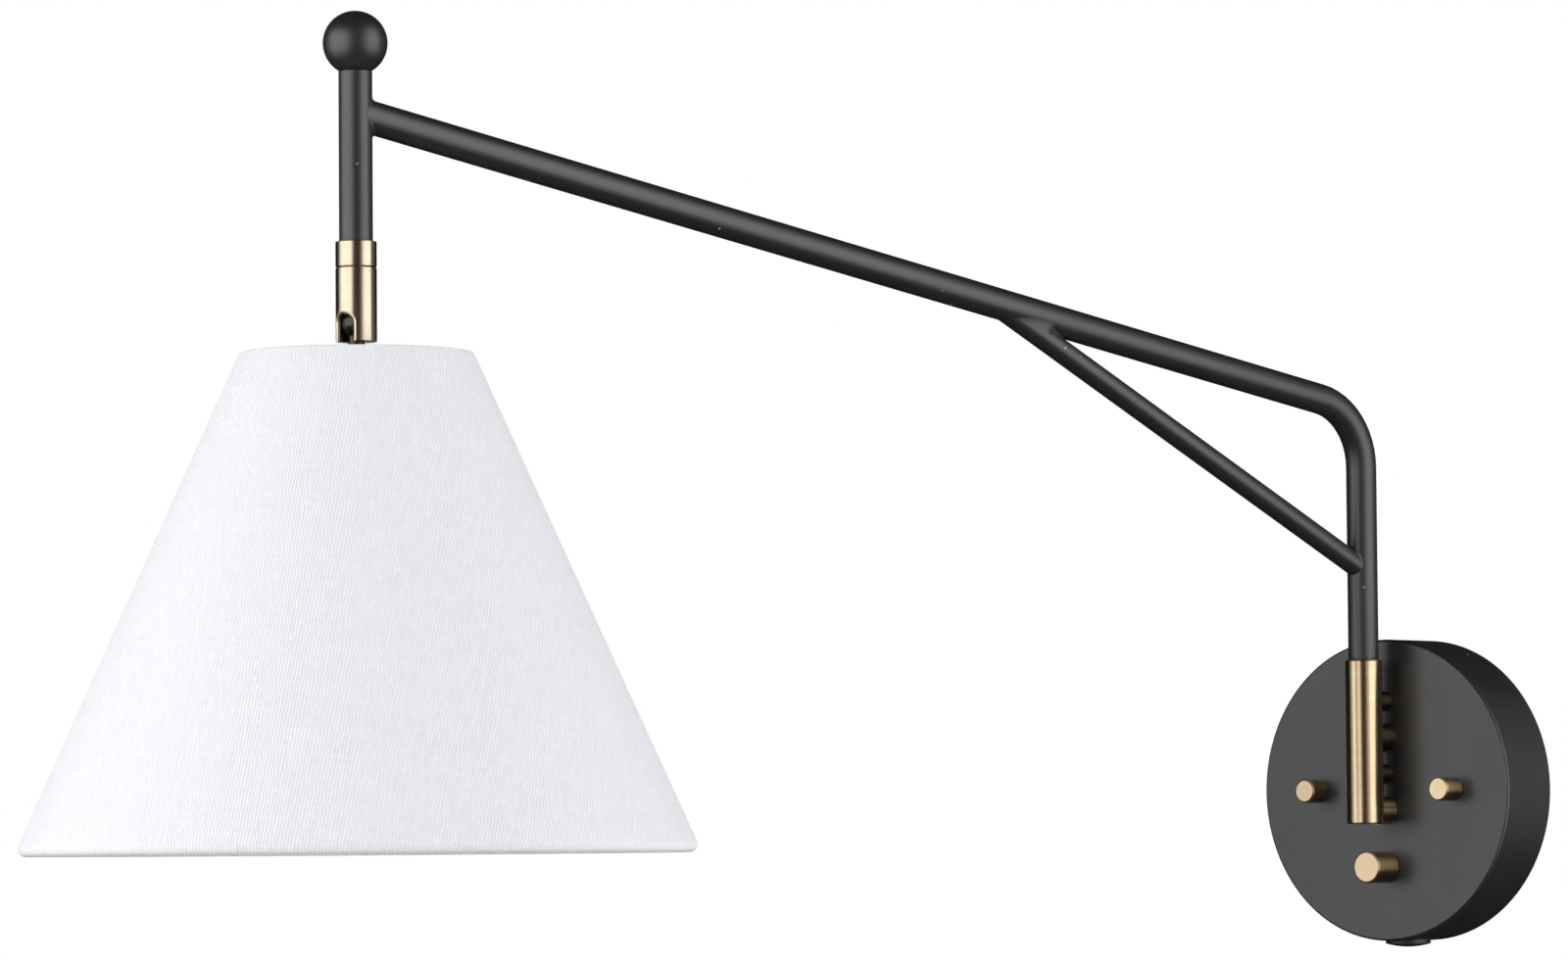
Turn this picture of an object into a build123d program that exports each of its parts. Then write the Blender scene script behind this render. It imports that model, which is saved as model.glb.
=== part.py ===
"""Swing arm wall sconce: round canopy, braced swinging arm and a fabric shade that turns and tilts.

The origin is the centre of the canopy's open back, on the wall. +Z is up, the wall is the plane
Y = 0 and the lamp stands out towards -Y. Sizes are in millimetres and angles in degrees.
"""

import os
from math import atan2, cos, degrees, radians, sin, tan

from build123d import *

os.makedirs("parts", exist_ok=True)

# Clearances
RUNNING_FIT = 0.05
THREAD_FIT = 0.05
SEAT_GAP = 0.1
END_PLAY = 0.1
SWING_GAP = 0.3
HOLE_PLAY = 0.25

# Canopy
CANOPY_DIA = 127.0
CANOPY_DEPTH = 30.0
CANOPY_WALL = 1.2
CANOPY_EDGE = 1.0

# Mounting strap and the canopy's studs and nuts
STRAP_LENGTH = 112.0
STRAP_WIDTH = 25.0
STRAP_THICKNESS = 2.0
STRAP_CORNER = 4.0
BOX_SPACING = 88.9
BOX_SLOT_WIDTH = 4.8
BOX_SLOT_TRAVEL = 4.0
STUD_SPACING = 69.85
STUD_DIA = 4.0
STUD_IN_NUT = 7.0
STUD_NUT_FLATS = 7.0
STUD_NUT_HEIGHT = 3.2
THUMB_NUT_DIA = 10.0
THUMB_NUT_LENGTH = 10.2
GROUND_SCREW_X = 16.0
GROUND_SCREW_DIA = 4.0
GROUND_HEAD_FLATS = 7.5
GROUND_HEAD_HEIGHT = 2.6

# Pivot barrel and its posts
PIVOT_OFFSET = 14.0
BRASS_DIA = 15.5
BARREL_LENGTH = 68.9
BARREL_BOTTOM = -14.3
BARREL_BORE = 12.9
BRASS_EDGE = 0.6
BUSH_LENGTH = 12.0
LOWER_BUSH_ABOVE_END = 17.0
JOURNAL_DIA = 10.0
WASHER_DIA = 12.4
WASHER_THICKNESS = 0.6
END_PLUG_LENGTH = 4.0
CLIP_THICKNESS = 1.0
CLIP_DIA = 12.2
CLIP_GROOVE_DEPTH = 0.5
SPIGOT_GRIP = 25.0
SPIGOT_TAIL = 3.0
WIRE_BORE = 5.0
TOP_POST_INSET = 17.2
LOW_POST_INSET = 5.8
SLIM_POST_DIA = 8.3
STOUT_POST_DIA = 12.0
POST_SHANK_DIA = 8.0
POST_NUT_FLATS = 13.0
POST_NUT_HEIGHT = 4.0
POST_SCREW_DIA = 4.0
POST_SCREW_GRIP = 4.0
POST_SCREW_HEAD_DIA = 7.5
POST_SCREW_HEAD = 2.8

# Switch and knob
SWITCH_Z = -32.4
SWITCH_BODY_SIZE = 22.0
SWITCH_BODY_DEPTH = 16.0
SWITCH_CORNER = 2.5
SWITCH_BUSH_DIA = 7.0
SWITCH_NUT_DIA = 10.4
SWITCH_NUT_HEIGHT = 2.0
SHAFT_DIA = 6.0
SHAFT_IN_BODY = 10.0
KNOB_DIA = 13.4
KNOB_LENGTH = 13.6
KNOB_RECESS_DEPTH = 3.0
KNOB_CROWN = 3.0
KNOB_EDGE = 0.7

# Plug in the cord hole
CORD_PLUG_SETBACK = 15.0
CORD_PLUG_DIA = 19.0
CORD_PLUG_SHANK = 12.5
CORD_PLUG_RIM = 1.2
CORD_PLUG_DOME = 1.4
CORD_PLUG_DEPTH = 5.0

# Arm, brace and drop tube
TUBE_DIA = 12.7
TUBE_WALL = 1.2
BRACE_DIA = 9.525
BRACE_WALL = 1.0
WELD_GAP = 0.05
TUBE_EDGE = 0.6
REST_SWING = 10.09
ARM_REACH = 513.7
ARM_CORNER_Z = 159.53
ARM_RISE = 10.395
ARM_BEND = 28.5
BRACE_ON_LEG_Z = 92.5
BRACE_ON_ARM = 200.9
DROP_ABOVE_ARM = 15.95
DROP_BELOW_ARM = 48.6
BALL_DIA = 24.4
BALL_SPIGOT = 8.0

# Swivel at the drop tube's lower end
COLLAR_LENGTH = 9.6
COLLAR_SOCKET = 6.0
INSERT_LENGTH = 10.0
NIPPLE_DIA = 8.0
NIPPLE_HEAD = 3.0
SLEEVE_LENGTH = 27.9
SWIVEL_EDGE = 0.25
SLEEVE_ROOF = 6.0
SLOT_TURN = 12.0
SLOT_WIDTH = 7.0
SLOT_EDGE = 1.1
TILT_HEIGHT = 6.9
SWIVEL_BALL_DIA = 11.2
SEAT_COVER = 2.2
NECK_DIA = 6.2
NECK_BORE = 4.0

# Lampholder
NECK_LENGTH = 17.1
NECK_TAIL = 2.0
NECK_NUT_FLATS = 13.0
NECK_NUT_HEIGHT = 3.0
CAP_DIA = 43.0
CAP_HEIGHT = 10.0
CAP_WALL = 1.5
CAP_EDGE = 3.0
HOLDER_COLLAR = 14.0
HOLDER_SKIRT_DIA = 39.5
HOLDER_SKIRT_LENGTH = 36.0
HOLDER_ROOF = 6.0
SHELL_BORE = 26.6
SHELL_WALL = 0.6
SHELL_LENGTH = 26.0
SHELL_SETBACK = 4.0
CONTACT_DIA = 11.0
CONTACT_HEIGHT = 2.0
RING_NUT_DIA = 54.0
RING_NUT_HEIGHT = 8.0

# Shade
SHADE_TOP_DIA = 87.8
SHADE_BOTTOM_DIA = 256.8
SHADE_HEIGHT = 188.2
SHADE_DROP = 11.0
FABRIC = 0.8
LINER = 0.6
GLUE_LINE = 0.2
TOP_EDGE = 1.2
HEM_RADIUS = 3.0
TOP_TURN_IN = 5.0
BOTTOM_TURN_IN = 9.0
TOP_WIRE_DIA = 2.6
FITTER_DIA = 52.0
FITTER_THICKNESS = 1.5
SPOKE_COUNT = 3

# Places worked out from the sizes above
canopy_radius = CANOPY_DIA / 2
pivot = Vector(0, -(CANOPY_DEPTH + PIVOT_OFFSET), 0)
barrel_top = BARREL_BOTTOM + BARREL_LENGTH
lower_bush_z = BARREL_BOTTOM + LOWER_BUSH_ABOVE_END
post_pitch = (BARREL_LENGTH - TOP_POST_INSET - LOW_POST_INSET) / 3
post_heights = [barrel_top - TOP_POST_INSET - step * post_pitch for step in range(4)]
leg_bottom = barrel_top + WASHER_THICKNESS + 2 * END_PLAY

out = Vector(-sin(radians(REST_SWING)), -cos(radians(REST_SWING)), 0)
arm_side = Plane(origin=pivot, x_dir=out, z_dir=out.cross(Vector(0, 0, 1)))
arm_end_z = ARM_CORNER_Z + ARM_REACH * tan(radians(ARM_RISE))
arm_direction = arm_side.from_local_coords(Vector(cos(radians(ARM_RISE)), sin(radians(ARM_RISE)))) - pivot
arm_corner = arm_side.from_local_coords(Vector(0, ARM_CORNER_Z))
brace_low = arm_side.from_local_coords(Vector(0, BRACE_ON_LEG_Z))
brace_high = arm_side.from_local_coords(
    Vector(BRACE_ON_ARM, ARM_CORNER_Z + BRACE_ON_ARM * tan(radians(ARM_RISE)))
)

drop = pivot + out * ARM_REACH
drop_side = Plane(origin=drop, x_dir=out, z_dir=arm_side.z_dir)
drop_axis = Axis(drop, (0, 0, 1))
drop_top = arm_end_z + DROP_ABOVE_ARM
collar_top = arm_end_z - DROP_BELOW_ARM
collar_bottom = collar_top - COLLAR_LENGTH
drop_bottom = collar_top - COLLAR_SOCKET
sleeve_top = collar_bottom - SWING_GAP
sleeve_bottom = sleeve_top - SLEEVE_LENGTH
sleeve_roof_z = sleeve_top - SLEEVE_ROOF
nipple_head_top = sleeve_roof_z - END_PLAY - WASHER_THICKNESS
tilt_z = sleeve_bottom + TILT_HEIGHT
socket_dia = SWIVEL_BALL_DIA + 2 * SWING_GAP
slot_direction = out.rotate(Axis.Z, SLOT_TURN)
slot_side = Plane(origin=drop, x_dir=Vector(0, 0, 1).cross(slot_direction), z_dir=slot_direction)

cap_top = tilt_z - NECK_LENGTH
holder_top = cap_top - CAP_HEIGHT
shoulder_z = holder_top - HOLDER_COLLAR
holder_bottom = shoulder_z - HOLDER_SKIRT_LENGTH
holder_roof_z = holder_top - HOLDER_ROOF
holder_bore = SHELL_BORE + 2 * SHELL_WALL + 2 * SEAT_GAP
fitter_z = shoulder_z - FITTER_THICKNESS

shade_top = tilt_z - SHADE_DROP
shade_bottom = shade_top - SHADE_HEIGHT
shade_flare = degrees(atan2((SHADE_BOTTOM_DIA - SHADE_TOP_DIA) / 2, SHADE_HEIGHT))
bottom_wire_radius = HEM_RADIUS - FABRIC - SEAT_GAP
bottom_wire_z = shade_bottom + HEM_RADIUS
bottom_wire_ring = SHADE_BOTTOM_DIA / 2 - HEM_RADIUS / tan(radians((90 - shade_flare) / 2))
top_wire_z = shade_top - FABRIC - SEAT_GAP - TOP_WIRE_DIA / 2

wall_face = Plane(origin=(0, 0, 0), x_dir=(1, 0, 0), z_dir=(0, -1, 0))
front_face = wall_face.offset(CANOPY_DEPTH)
inner_face = front_face.offset(-CANOPY_WALL)
stud_places = [(-STUD_SPACING / 2, 0), (STUD_SPACING / 2, 0)]
slim_places = [(0, post_heights[0]), (0, post_heights[2])]
stout_places = [(0, post_heights[1]), (0, post_heights[3])]


def level(axis_point, height):
    """Horizontal plane at a height on an upright axis."""
    return Plane(origin=(axis_point.X, axis_point.Y, height))


def shade_radius(height, inset):
    """Radius of the shade's cone at a height, an inset inside its outer face."""
    slope = tan(radians(shade_flare))
    return SHADE_TOP_DIA / 2 + (shade_top - height) * slope - inset / cos(radians(shade_flare))


def hex_radius(flats):
    """Corner radius of a hexagon from its width across flats."""
    return flats / 2 / cos(radians(30))


# Canopy: a pan with a rounded front edge, holes in its face and a cord hole underneath
with BuildPart() as canopy:
    with BuildSketch(wall_face):
        Circle(canopy_radius)
    extrude(amount=CANOPY_DEPTH)
    fillet(canopy.faces().sort_by(Axis.Y)[0].edges(), CANOPY_EDGE)
    offset(amount=-CANOPY_WALL, openings=canopy.faces().sort_by(Axis.Y)[-1])
    with BuildSketch(front_face):
        with Locations(*stud_places):
            Circle(STUD_DIA / 2 + HOLE_PLAY)
        with Locations(*slim_places):
            Circle(POST_SCREW_DIA / 2 + HOLE_PLAY)
        with Locations(*stout_places):
            Circle(POST_SHANK_DIA / 2 + HOLE_PLAY)
        with Locations((0, SWITCH_Z)):
            Circle(SWITCH_BUSH_DIA / 2 + HOLE_PLAY)
    extrude(amount=-2 * CANOPY_WALL, mode=Mode.SUBTRACT)
    with BuildSketch(Plane(origin=(0, -CORD_PLUG_SETBACK, -canopy_radius - CANOPY_WALL))):
        Circle(CORD_PLUG_SHANK / 2 + HOLE_PLAY)
    extrude(amount=4 * CANOPY_WALL, mode=Mode.SUBTRACT)
canopy.part.label = "canopy"
export_step(canopy.part, "parts/canopy.step")

# Mounting strap: a flat bar with slots for the wall box's screws
with BuildPart() as mounting_strap:
    with BuildSketch(wall_face):
        RectangleRounded(STRAP_LENGTH, STRAP_WIDTH, STRAP_CORNER)
        with Locations((-BOX_SPACING / 2, 0), (BOX_SPACING / 2, 0)):
            SlotCenterToCenter(BOX_SLOT_TRAVEL, BOX_SLOT_WIDTH, mode=Mode.SUBTRACT)
        with Locations(*stud_places):
            Circle(STUD_DIA / 2 + THREAD_FIT, mode=Mode.SUBTRACT)
        with Locations((GROUND_SCREW_X, 0)):
            Circle(GROUND_SCREW_DIA / 2 + THREAD_FIT, mode=Mode.SUBTRACT)
    extrude(amount=STRAP_THICKNESS)
mounting_strap.part.label = "mounting_strap"
export_step(mounting_strap.part, "parts/mounting_strap.step")

# Canopy studs: two threaded rods from the strap into the thumb nuts
with BuildPart() as canopy_studs:
    with BuildSketch(wall_face):
        with Locations(*stud_places):
            Circle(STUD_DIA / 2)
    extrude(amount=CANOPY_DEPTH + STUD_IN_NUT)
canopy_studs.part.label = "canopy_studs"
export_step(canopy_studs.part, "parts/canopy_studs.step")

# Stud lock nuts: hex nuts on the front of the strap
with BuildPart() as stud_lock_nuts:
    with BuildSketch(wall_face.offset(STRAP_THICKNESS)):
        with Locations(*stud_places):
            RegularPolygon(hex_radius(STUD_NUT_FLATS), 6, rotation=30)
            Circle(STUD_DIA / 2 + THREAD_FIT, mode=Mode.SUBTRACT)
    extrude(amount=STUD_NUT_HEIGHT)
stud_lock_nuts.part.label = "stud_lock_nuts"
export_step(stud_lock_nuts.part, "parts/stud_lock_nuts.step")

# Ground screw: a hex head screw in the strap
with BuildPart() as ground_screw:
    with BuildSketch(wall_face):
        with Locations((GROUND_SCREW_X, 0)):
            Circle(GROUND_SCREW_DIA / 2)
    extrude(amount=STRAP_THICKNESS)
    with BuildSketch(wall_face.offset(STRAP_THICKNESS)):
        with Locations((GROUND_SCREW_X, 0)):
            RegularPolygon(hex_radius(GROUND_HEAD_FLATS), 6)
    extrude(amount=GROUND_HEAD_HEIGHT)
ground_screw.part.label = "ground_screw"
export_step(ground_screw.part, "parts/ground_screw.step")

# Thumb nuts: plain round brass nuts with a blind thread, on the canopy's face
for side, place in zip(("left", "right"), stud_places):
    with BuildPart() as thumb_nut:
        with BuildSketch(front_face):
            with Locations(place):
                Circle(THUMB_NUT_DIA / 2)
        extrude(amount=THUMB_NUT_LENGTH)
        chamfer(thumb_nut.faces().sort_by(Axis.Y)[0].edges(), KNOB_EDGE)
        with BuildSketch(front_face):
            with Locations(place):
                Circle(STUD_DIA / 2 + THREAD_FIT)
        extrude(amount=STUD_IN_NUT + END_PLAY, mode=Mode.SUBTRACT)
    thumb_nut.part.label = f"thumb_nut_{side}"
    export_step(thumb_nut.part, f"parts/thumb_nut_{side}.step")

# Slim posts: tapped brass spacers, saddled to the barrel
for name, place in zip(("upper_slim_post", "lower_slim_post"), slim_places):
    with BuildPart() as slim_post:
        with BuildSketch(front_face):
            with Locations(place):
                Circle(SLIM_POST_DIA / 2)
        extrude(amount=PIVOT_OFFSET)
        with BuildSketch(level(pivot, BARREL_BOTTOM)):
            Circle(BRASS_DIA / 2 + WELD_GAP)
        extrude(amount=BARREL_LENGTH, mode=Mode.SUBTRACT)
        with BuildSketch(front_face):
            with Locations(place):
                Circle(POST_SCREW_DIA / 2 + THREAD_FIT)
        extrude(amount=POST_SCREW_GRIP + END_PLAY, mode=Mode.SUBTRACT)
    slim_post.part.label = name
    export_step(slim_post.part, f"parts/{name}.step")

# Stout posts: hollow brass spacers with a threaded shank through the canopy's face
shank_length = CANOPY_WALL + POST_NUT_HEIGHT + END_PLAY
for name, place in zip(("upper_stout_post", "lower_stout_post"), stout_places):
    with BuildPart() as stout_post:
        with BuildSketch(front_face):
            with Locations(place):
                Circle(STOUT_POST_DIA / 2)
        extrude(amount=PIVOT_OFFSET)
        with BuildSketch(level(pivot, BARREL_BOTTOM - STOUT_POST_DIA)):
            Circle(BRASS_DIA / 2 + WELD_GAP)
        extrude(amount=BARREL_LENGTH + 2 * STOUT_POST_DIA, mode=Mode.SUBTRACT)
        with BuildSketch(front_face):
            with Locations(place):
                Circle(POST_SHANK_DIA / 2)
        extrude(amount=-shank_length)
        with BuildSketch(front_face.offset(-shank_length)):
            with Locations(place):
                Circle(WIRE_BORE / 2)
        extrude(amount=shank_length + PIVOT_OFFSET, mode=Mode.SUBTRACT)
    stout_post.part.label = name
    export_step(stout_post.part, f"parts/{name}.step")

# Post screws: pan heads inside the canopy, threads in the slim posts
with BuildPart() as post_screws:
    with BuildSketch(inner_face):
        with Locations(*slim_places):
            Circle(POST_SCREW_HEAD_DIA / 2)
    extrude(amount=-POST_SCREW_HEAD)
    with BuildSketch(inner_face):
        with Locations(*slim_places):
            Circle(POST_SCREW_DIA / 2)
    extrude(amount=CANOPY_WALL + POST_SCREW_GRIP)
post_screws.part.label = "post_screws"
export_step(post_screws.part, "parts/post_screws.step")

# Post nuts: hex nuts on the stout posts' shanks
with BuildPart() as post_nuts:
    with BuildSketch(inner_face):
        with Locations(*stout_places):
            RegularPolygon(hex_radius(POST_NUT_FLATS), 6)
            Circle(POST_SHANK_DIA / 2 + THREAD_FIT, mode=Mode.SUBTRACT)
    extrude(amount=-POST_NUT_HEIGHT)
post_nuts.part.label = "post_nuts"
export_step(post_nuts.part, "parts/post_nuts.step")

# Pivot barrel: an upright brass tube with a wire hole behind the lower stout post
with BuildPart() as pivot_barrel:
    with BuildSketch(level(pivot, BARREL_BOTTOM)):
        Circle(BRASS_DIA / 2)
    extrude(amount=BARREL_LENGTH)
    chamfer(pivot_barrel.edges().filter_by(GeomType.CIRCLE), BRASS_EDGE)
    with BuildSketch(level(pivot, BARREL_BOTTOM)):
        Circle(BARREL_BORE / 2)
    extrude(amount=BARREL_LENGTH, mode=Mode.SUBTRACT)
    with BuildSketch(front_face):
        with Locations(stout_places[1]):
            Circle(WIRE_BORE / 2)
    extrude(amount=PIVOT_OFFSET, mode=Mode.SUBTRACT)
pivot_barrel.part.label = "pivot_barrel"
export_step(pivot_barrel.part, "parts/pivot_barrel.step")

# Bushes: nylon sleeves in the barrel, one at its top and one near its end
for name, height in (("upper_bush", barrel_top - BUSH_LENGTH), ("lower_bush", lower_bush_z)):
    with BuildPart() as bush:
        with BuildSketch(level(pivot, height)):
            Circle(BARREL_BORE / 2 - RUNNING_FIT)
            Circle(JOURNAL_DIA / 2 + RUNNING_FIT, mode=Mode.SUBTRACT)
        extrude(amount=BUSH_LENGTH)
    bush.part.label = name
    export_step(bush.part, f"parts/{name}.step")

# Thrust washer: between the barrel's upper bush and the leg
with BuildPart() as thrust_washer:
    with BuildSketch(level(pivot, barrel_top + END_PLAY)):
        Circle(WASHER_DIA / 2)
        Circle(JOURNAL_DIA / 2 + RUNNING_FIT, mode=Mode.SUBTRACT)
    extrude(amount=WASHER_THICKNESS)
thrust_washer.part.label = "thrust_washer"
export_step(thrust_washer.part, "parts/thrust_washer.step")

# Barrel end plug: closes the barrel's lower end, flush with it
with BuildPart() as barrel_end_plug:
    with BuildSketch(level(pivot, BARREL_BOTTOM)):
        Circle(BARREL_BORE / 2 - THREAD_FIT)
    extrude(amount=END_PLUG_LENGTH)
barrel_end_plug.part.label = "barrel_end_plug"
export_step(barrel_end_plug.part, "parts/barrel_end_plug.step")

# Pivot spigot: a hollow journal, pressed into the leg and held by a clip under the lower bush
clip_z = lower_bush_z - SWING_GAP - CLIP_THICKNESS
groove_radius = JOURNAL_DIA / 2 - CLIP_GROOVE_DEPTH
spigot_bottom = clip_z - SPIGOT_TAIL
with BuildPart() as pivot_spigot:
    with BuildSketch(level(pivot, spigot_bottom)):
        Circle(JOURNAL_DIA / 2)
    extrude(amount=leg_bottom - spigot_bottom)
    with BuildSketch(level(pivot, leg_bottom)):
        Circle(TUBE_DIA / 2 - TUBE_WALL - THREAD_FIT)
    extrude(amount=SPIGOT_GRIP)
    with BuildSketch(level(pivot, spigot_bottom)):
        Circle(WIRE_BORE / 2)
    extrude(amount=leg_bottom - spigot_bottom + SPIGOT_GRIP, mode=Mode.SUBTRACT)
    with BuildSketch(level(pivot, clip_z - END_PLAY)):
        Circle(JOURNAL_DIA / 2)
        Circle(groove_radius, mode=Mode.SUBTRACT)
    extrude(amount=CLIP_THICKNESS + 2 * END_PLAY, mode=Mode.SUBTRACT)
pivot_spigot.part.label = "pivot_spigot"
export_step(pivot_spigot.part, "parts/pivot_spigot.step")

# Spigot clip: a retaining ring in the spigot's groove
with BuildPart() as spigot_clip:
    with BuildSketch(level(pivot, clip_z)):
        Circle(CLIP_DIA / 2)
        Circle(groove_radius + THREAD_FIT, mode=Mode.SUBTRACT)
    extrude(amount=CLIP_THICKNESS)
spigot_clip.part.label = "spigot_clip"
export_step(spigot_clip.part, "parts/spigot_clip.step")

# Switch body: a rotary switch behind the canopy's face, with a threaded bush through it
bush_reach = CANOPY_WALL + SWITCH_NUT_HEIGHT
with BuildPart() as switch_body:
    with BuildSketch(inner_face):
        with Locations((0, SWITCH_Z)):
            RectangleRounded(SWITCH_BODY_SIZE, SWITCH_BODY_SIZE, SWITCH_CORNER)
    extrude(amount=-SWITCH_BODY_DEPTH)
    with BuildSketch(inner_face):
        with Locations((0, SWITCH_Z)):
            Circle(SWITCH_BUSH_DIA / 2)
    extrude(amount=bush_reach)
    with BuildSketch(inner_face.offset(bush_reach)):
        with Locations((0, SWITCH_Z)):
            Circle(SHAFT_DIA / 2 + RUNNING_FIT)
    extrude(amount=-(bush_reach + SHAFT_IN_BODY + END_PLAY), mode=Mode.SUBTRACT)
switch_body.part.label = "switch_body"
export_step(switch_body.part, "parts/switch_body.step")

# Switch nut: a ring nut on the switch's bush, inside the knob's recess
with BuildPart() as switch_nut:
    with BuildSketch(front_face):
        with Locations((0, SWITCH_Z)):
            Circle(SWITCH_NUT_DIA / 2)
            Circle(SWITCH_BUSH_DIA / 2 + THREAD_FIT, mode=Mode.SUBTRACT)
    extrude(amount=SWITCH_NUT_HEIGHT)
switch_nut.part.label = "switch_nut"
export_step(switch_nut.part, "parts/switch_nut.step")

# Switch shaft: from inside the switch into the knob
shaft_reach = SWING_GAP + KNOB_LENGTH - KNOB_CROWN
with BuildPart() as switch_shaft:
    with BuildSketch(inner_face.offset(-SHAFT_IN_BODY)):
        with Locations((0, SWITCH_Z)):
            Circle(SHAFT_DIA / 2)
    extrude(amount=SHAFT_IN_BODY + CANOPY_WALL + shaft_reach)
switch_shaft.part.label = "switch_shaft"
export_step(switch_shaft.part, "parts/switch_shaft.step")

# Switch knob: a plain brass cylinder, recessed over the ring nut
with BuildPart() as switch_knob:
    with BuildSketch(front_face.offset(SWING_GAP)):
        with Locations((0, SWITCH_Z)):
            Circle(KNOB_DIA / 2)
    extrude(amount=KNOB_LENGTH)
    chamfer(switch_knob.faces().sort_by(Axis.Y)[0].edges(), KNOB_EDGE)
    with BuildSketch(front_face.offset(SWING_GAP)):
        with Locations((0, SWITCH_Z)):
            Circle(SWITCH_NUT_DIA / 2 + SWING_GAP)
    extrude(amount=KNOB_RECESS_DEPTH, mode=Mode.SUBTRACT)
    with BuildSketch(front_face.offset(SWING_GAP)):
        with Locations((0, SWITCH_Z)):
            Circle(SHAFT_DIA / 2 + THREAD_FIT)
    extrude(amount=KNOB_LENGTH - KNOB_CROWN + END_PLAY, mode=Mode.SUBTRACT)
switch_knob.part.label = "switch_knob"
export_step(switch_knob.part, "parts/switch_knob.step")

# Cord hole plug: a domed cap that follows the canopy's curve, with a shank in the hole
plug_rim_z = -canopy_radius - CORD_PLUG_RIM
plug_side = Plane(origin=(0, -CORD_PLUG_SETBACK, 0), x_dir=(1, 0, 0), z_dir=(0, -1, 0))
with BuildPart() as cord_hole_plug:
    with BuildSketch(plug_side):
        with BuildLine():
            Polyline(
                (0, plug_rim_z - CORD_PLUG_DOME),
                (0, plug_rim_z + CORD_PLUG_DEPTH),
                (CORD_PLUG_DIA / 2, plug_rim_z + CORD_PLUG_DEPTH),
                (CORD_PLUG_DIA / 2, plug_rim_z),
            )
            SagittaArc((CORD_PLUG_DIA / 2, plug_rim_z), (-CORD_PLUG_DIA / 2, plug_rim_z), CORD_PLUG_DOME)
            split(bisect_by=Plane.YZ, keep=Keep.TOP)
        make_face()
    revolve(axis=Axis(plug_side.origin, (0, 0, 1)))
    with BuildSketch(wall_face):
        Circle(canopy_radius + SEAT_GAP)
    extrude(amount=CANOPY_DEPTH, mode=Mode.SUBTRACT)
    with BuildSketch(Plane(origin=(0, -CORD_PLUG_SETBACK, plug_rim_z))):
        Circle(CORD_PLUG_SHANK / 2)
    extrude(amount=CORD_PLUG_DEPTH)
cord_hole_plug.part.label = "cord_hole_plug"
export_step(cord_hole_plug.part, "parts/cord_hole_plug.step")

# Arm tube: upright leg, bend and rising arm, coped to the drop tube
with BuildPart() as arm_tube:
    with BuildLine(arm_side) as arm_path:
        FilletPolyline((0, leg_bottom), (0, ARM_CORNER_Z), (ARM_REACH, arm_end_z), radius=ARM_BEND)
    with BuildSketch(level(pivot, leg_bottom)):
        Circle(TUBE_DIA / 2)
        Circle(TUBE_DIA / 2 - TUBE_WALL, mode=Mode.SUBTRACT)
    sweep(path=arm_path.wire())
    with BuildSketch(level(drop, arm_end_z - TUBE_DIA)):
        Circle(TUBE_DIA / 2 + WELD_GAP)
    extrude(amount=2 * TUBE_DIA, mode=Mode.SUBTRACT)
arm_tube.part.label = "arm_tube"
export_step(arm_tube.part, "parts/arm_tube.step")

# Brace tube: straight, coped to the leg and to the arm
brace_run = brace_high - brace_low
with BuildPart() as brace_tube:
    with BuildSketch(Plane(origin=brace_low, z_dir=brace_run)):
        Circle(BRACE_DIA / 2)
        Circle(BRACE_DIA / 2 - BRACE_WALL, mode=Mode.SUBTRACT)
    extrude(amount=brace_run.length)
    with BuildSketch(level(pivot, leg_bottom)):
        Circle(TUBE_DIA / 2 + WELD_GAP)
    extrude(amount=ARM_CORNER_Z - leg_bottom, mode=Mode.SUBTRACT)
    with BuildSketch(Plane(origin=arm_corner, z_dir=arm_direction)):
        Circle(TUBE_DIA / 2 + WELD_GAP)
    extrude(amount=ARM_REACH, mode=Mode.SUBTRACT)
brace_tube.part.label = "brace_tube"
export_step(brace_tube.part, "parts/brace_tube.step")

# Drop tube: upright, with a wire hole where the arm meets it
arm_end = arm_side.from_local_coords(Vector(ARM_REACH, arm_end_z))
with BuildPart() as drop_tube:
    with BuildSketch(level(drop, drop_bottom)):
        Circle(TUBE_DIA / 2)
        Circle(TUBE_DIA / 2 - TUBE_WALL, mode=Mode.SUBTRACT)
    extrude(amount=drop_top - drop_bottom)
    fillet(drop_tube.edges().group_by(Axis.Z)[-1].sort_by(SortBy.RADIUS)[-1], TUBE_EDGE)
    with BuildSketch(Plane(origin=arm_end, z_dir=-arm_direction)):
        Circle(WIRE_BORE / 2)
    extrude(amount=TUBE_DIA, mode=Mode.SUBTRACT)
drop_tube.part.label = "drop_tube"
export_step(drop_tube.part, "parts/drop_tube.step")

# Ball finial: a ball cut flat where it is as wide as the drop tube, with a spigot in the tube
ball_radius = BALL_DIA / 2
ball_z = drop_top + (ball_radius**2 - (TUBE_DIA / 2) ** 2) ** 0.5
with BuildPart() as ball_finial:
    with Locations((drop.X, drop.Y, ball_z)):
        Sphere(ball_radius)
    split(bisect_by=level(drop, drop_top), keep=Keep.TOP)
    with BuildSketch(level(drop, drop_top)):
        Circle(TUBE_DIA / 2 - TUBE_WALL - THREAD_FIT)
    extrude(amount=-BALL_SPIGOT)
ball_finial.part.label = "ball_finial"
export_step(ball_finial.part, "parts/ball_finial.step")

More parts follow.
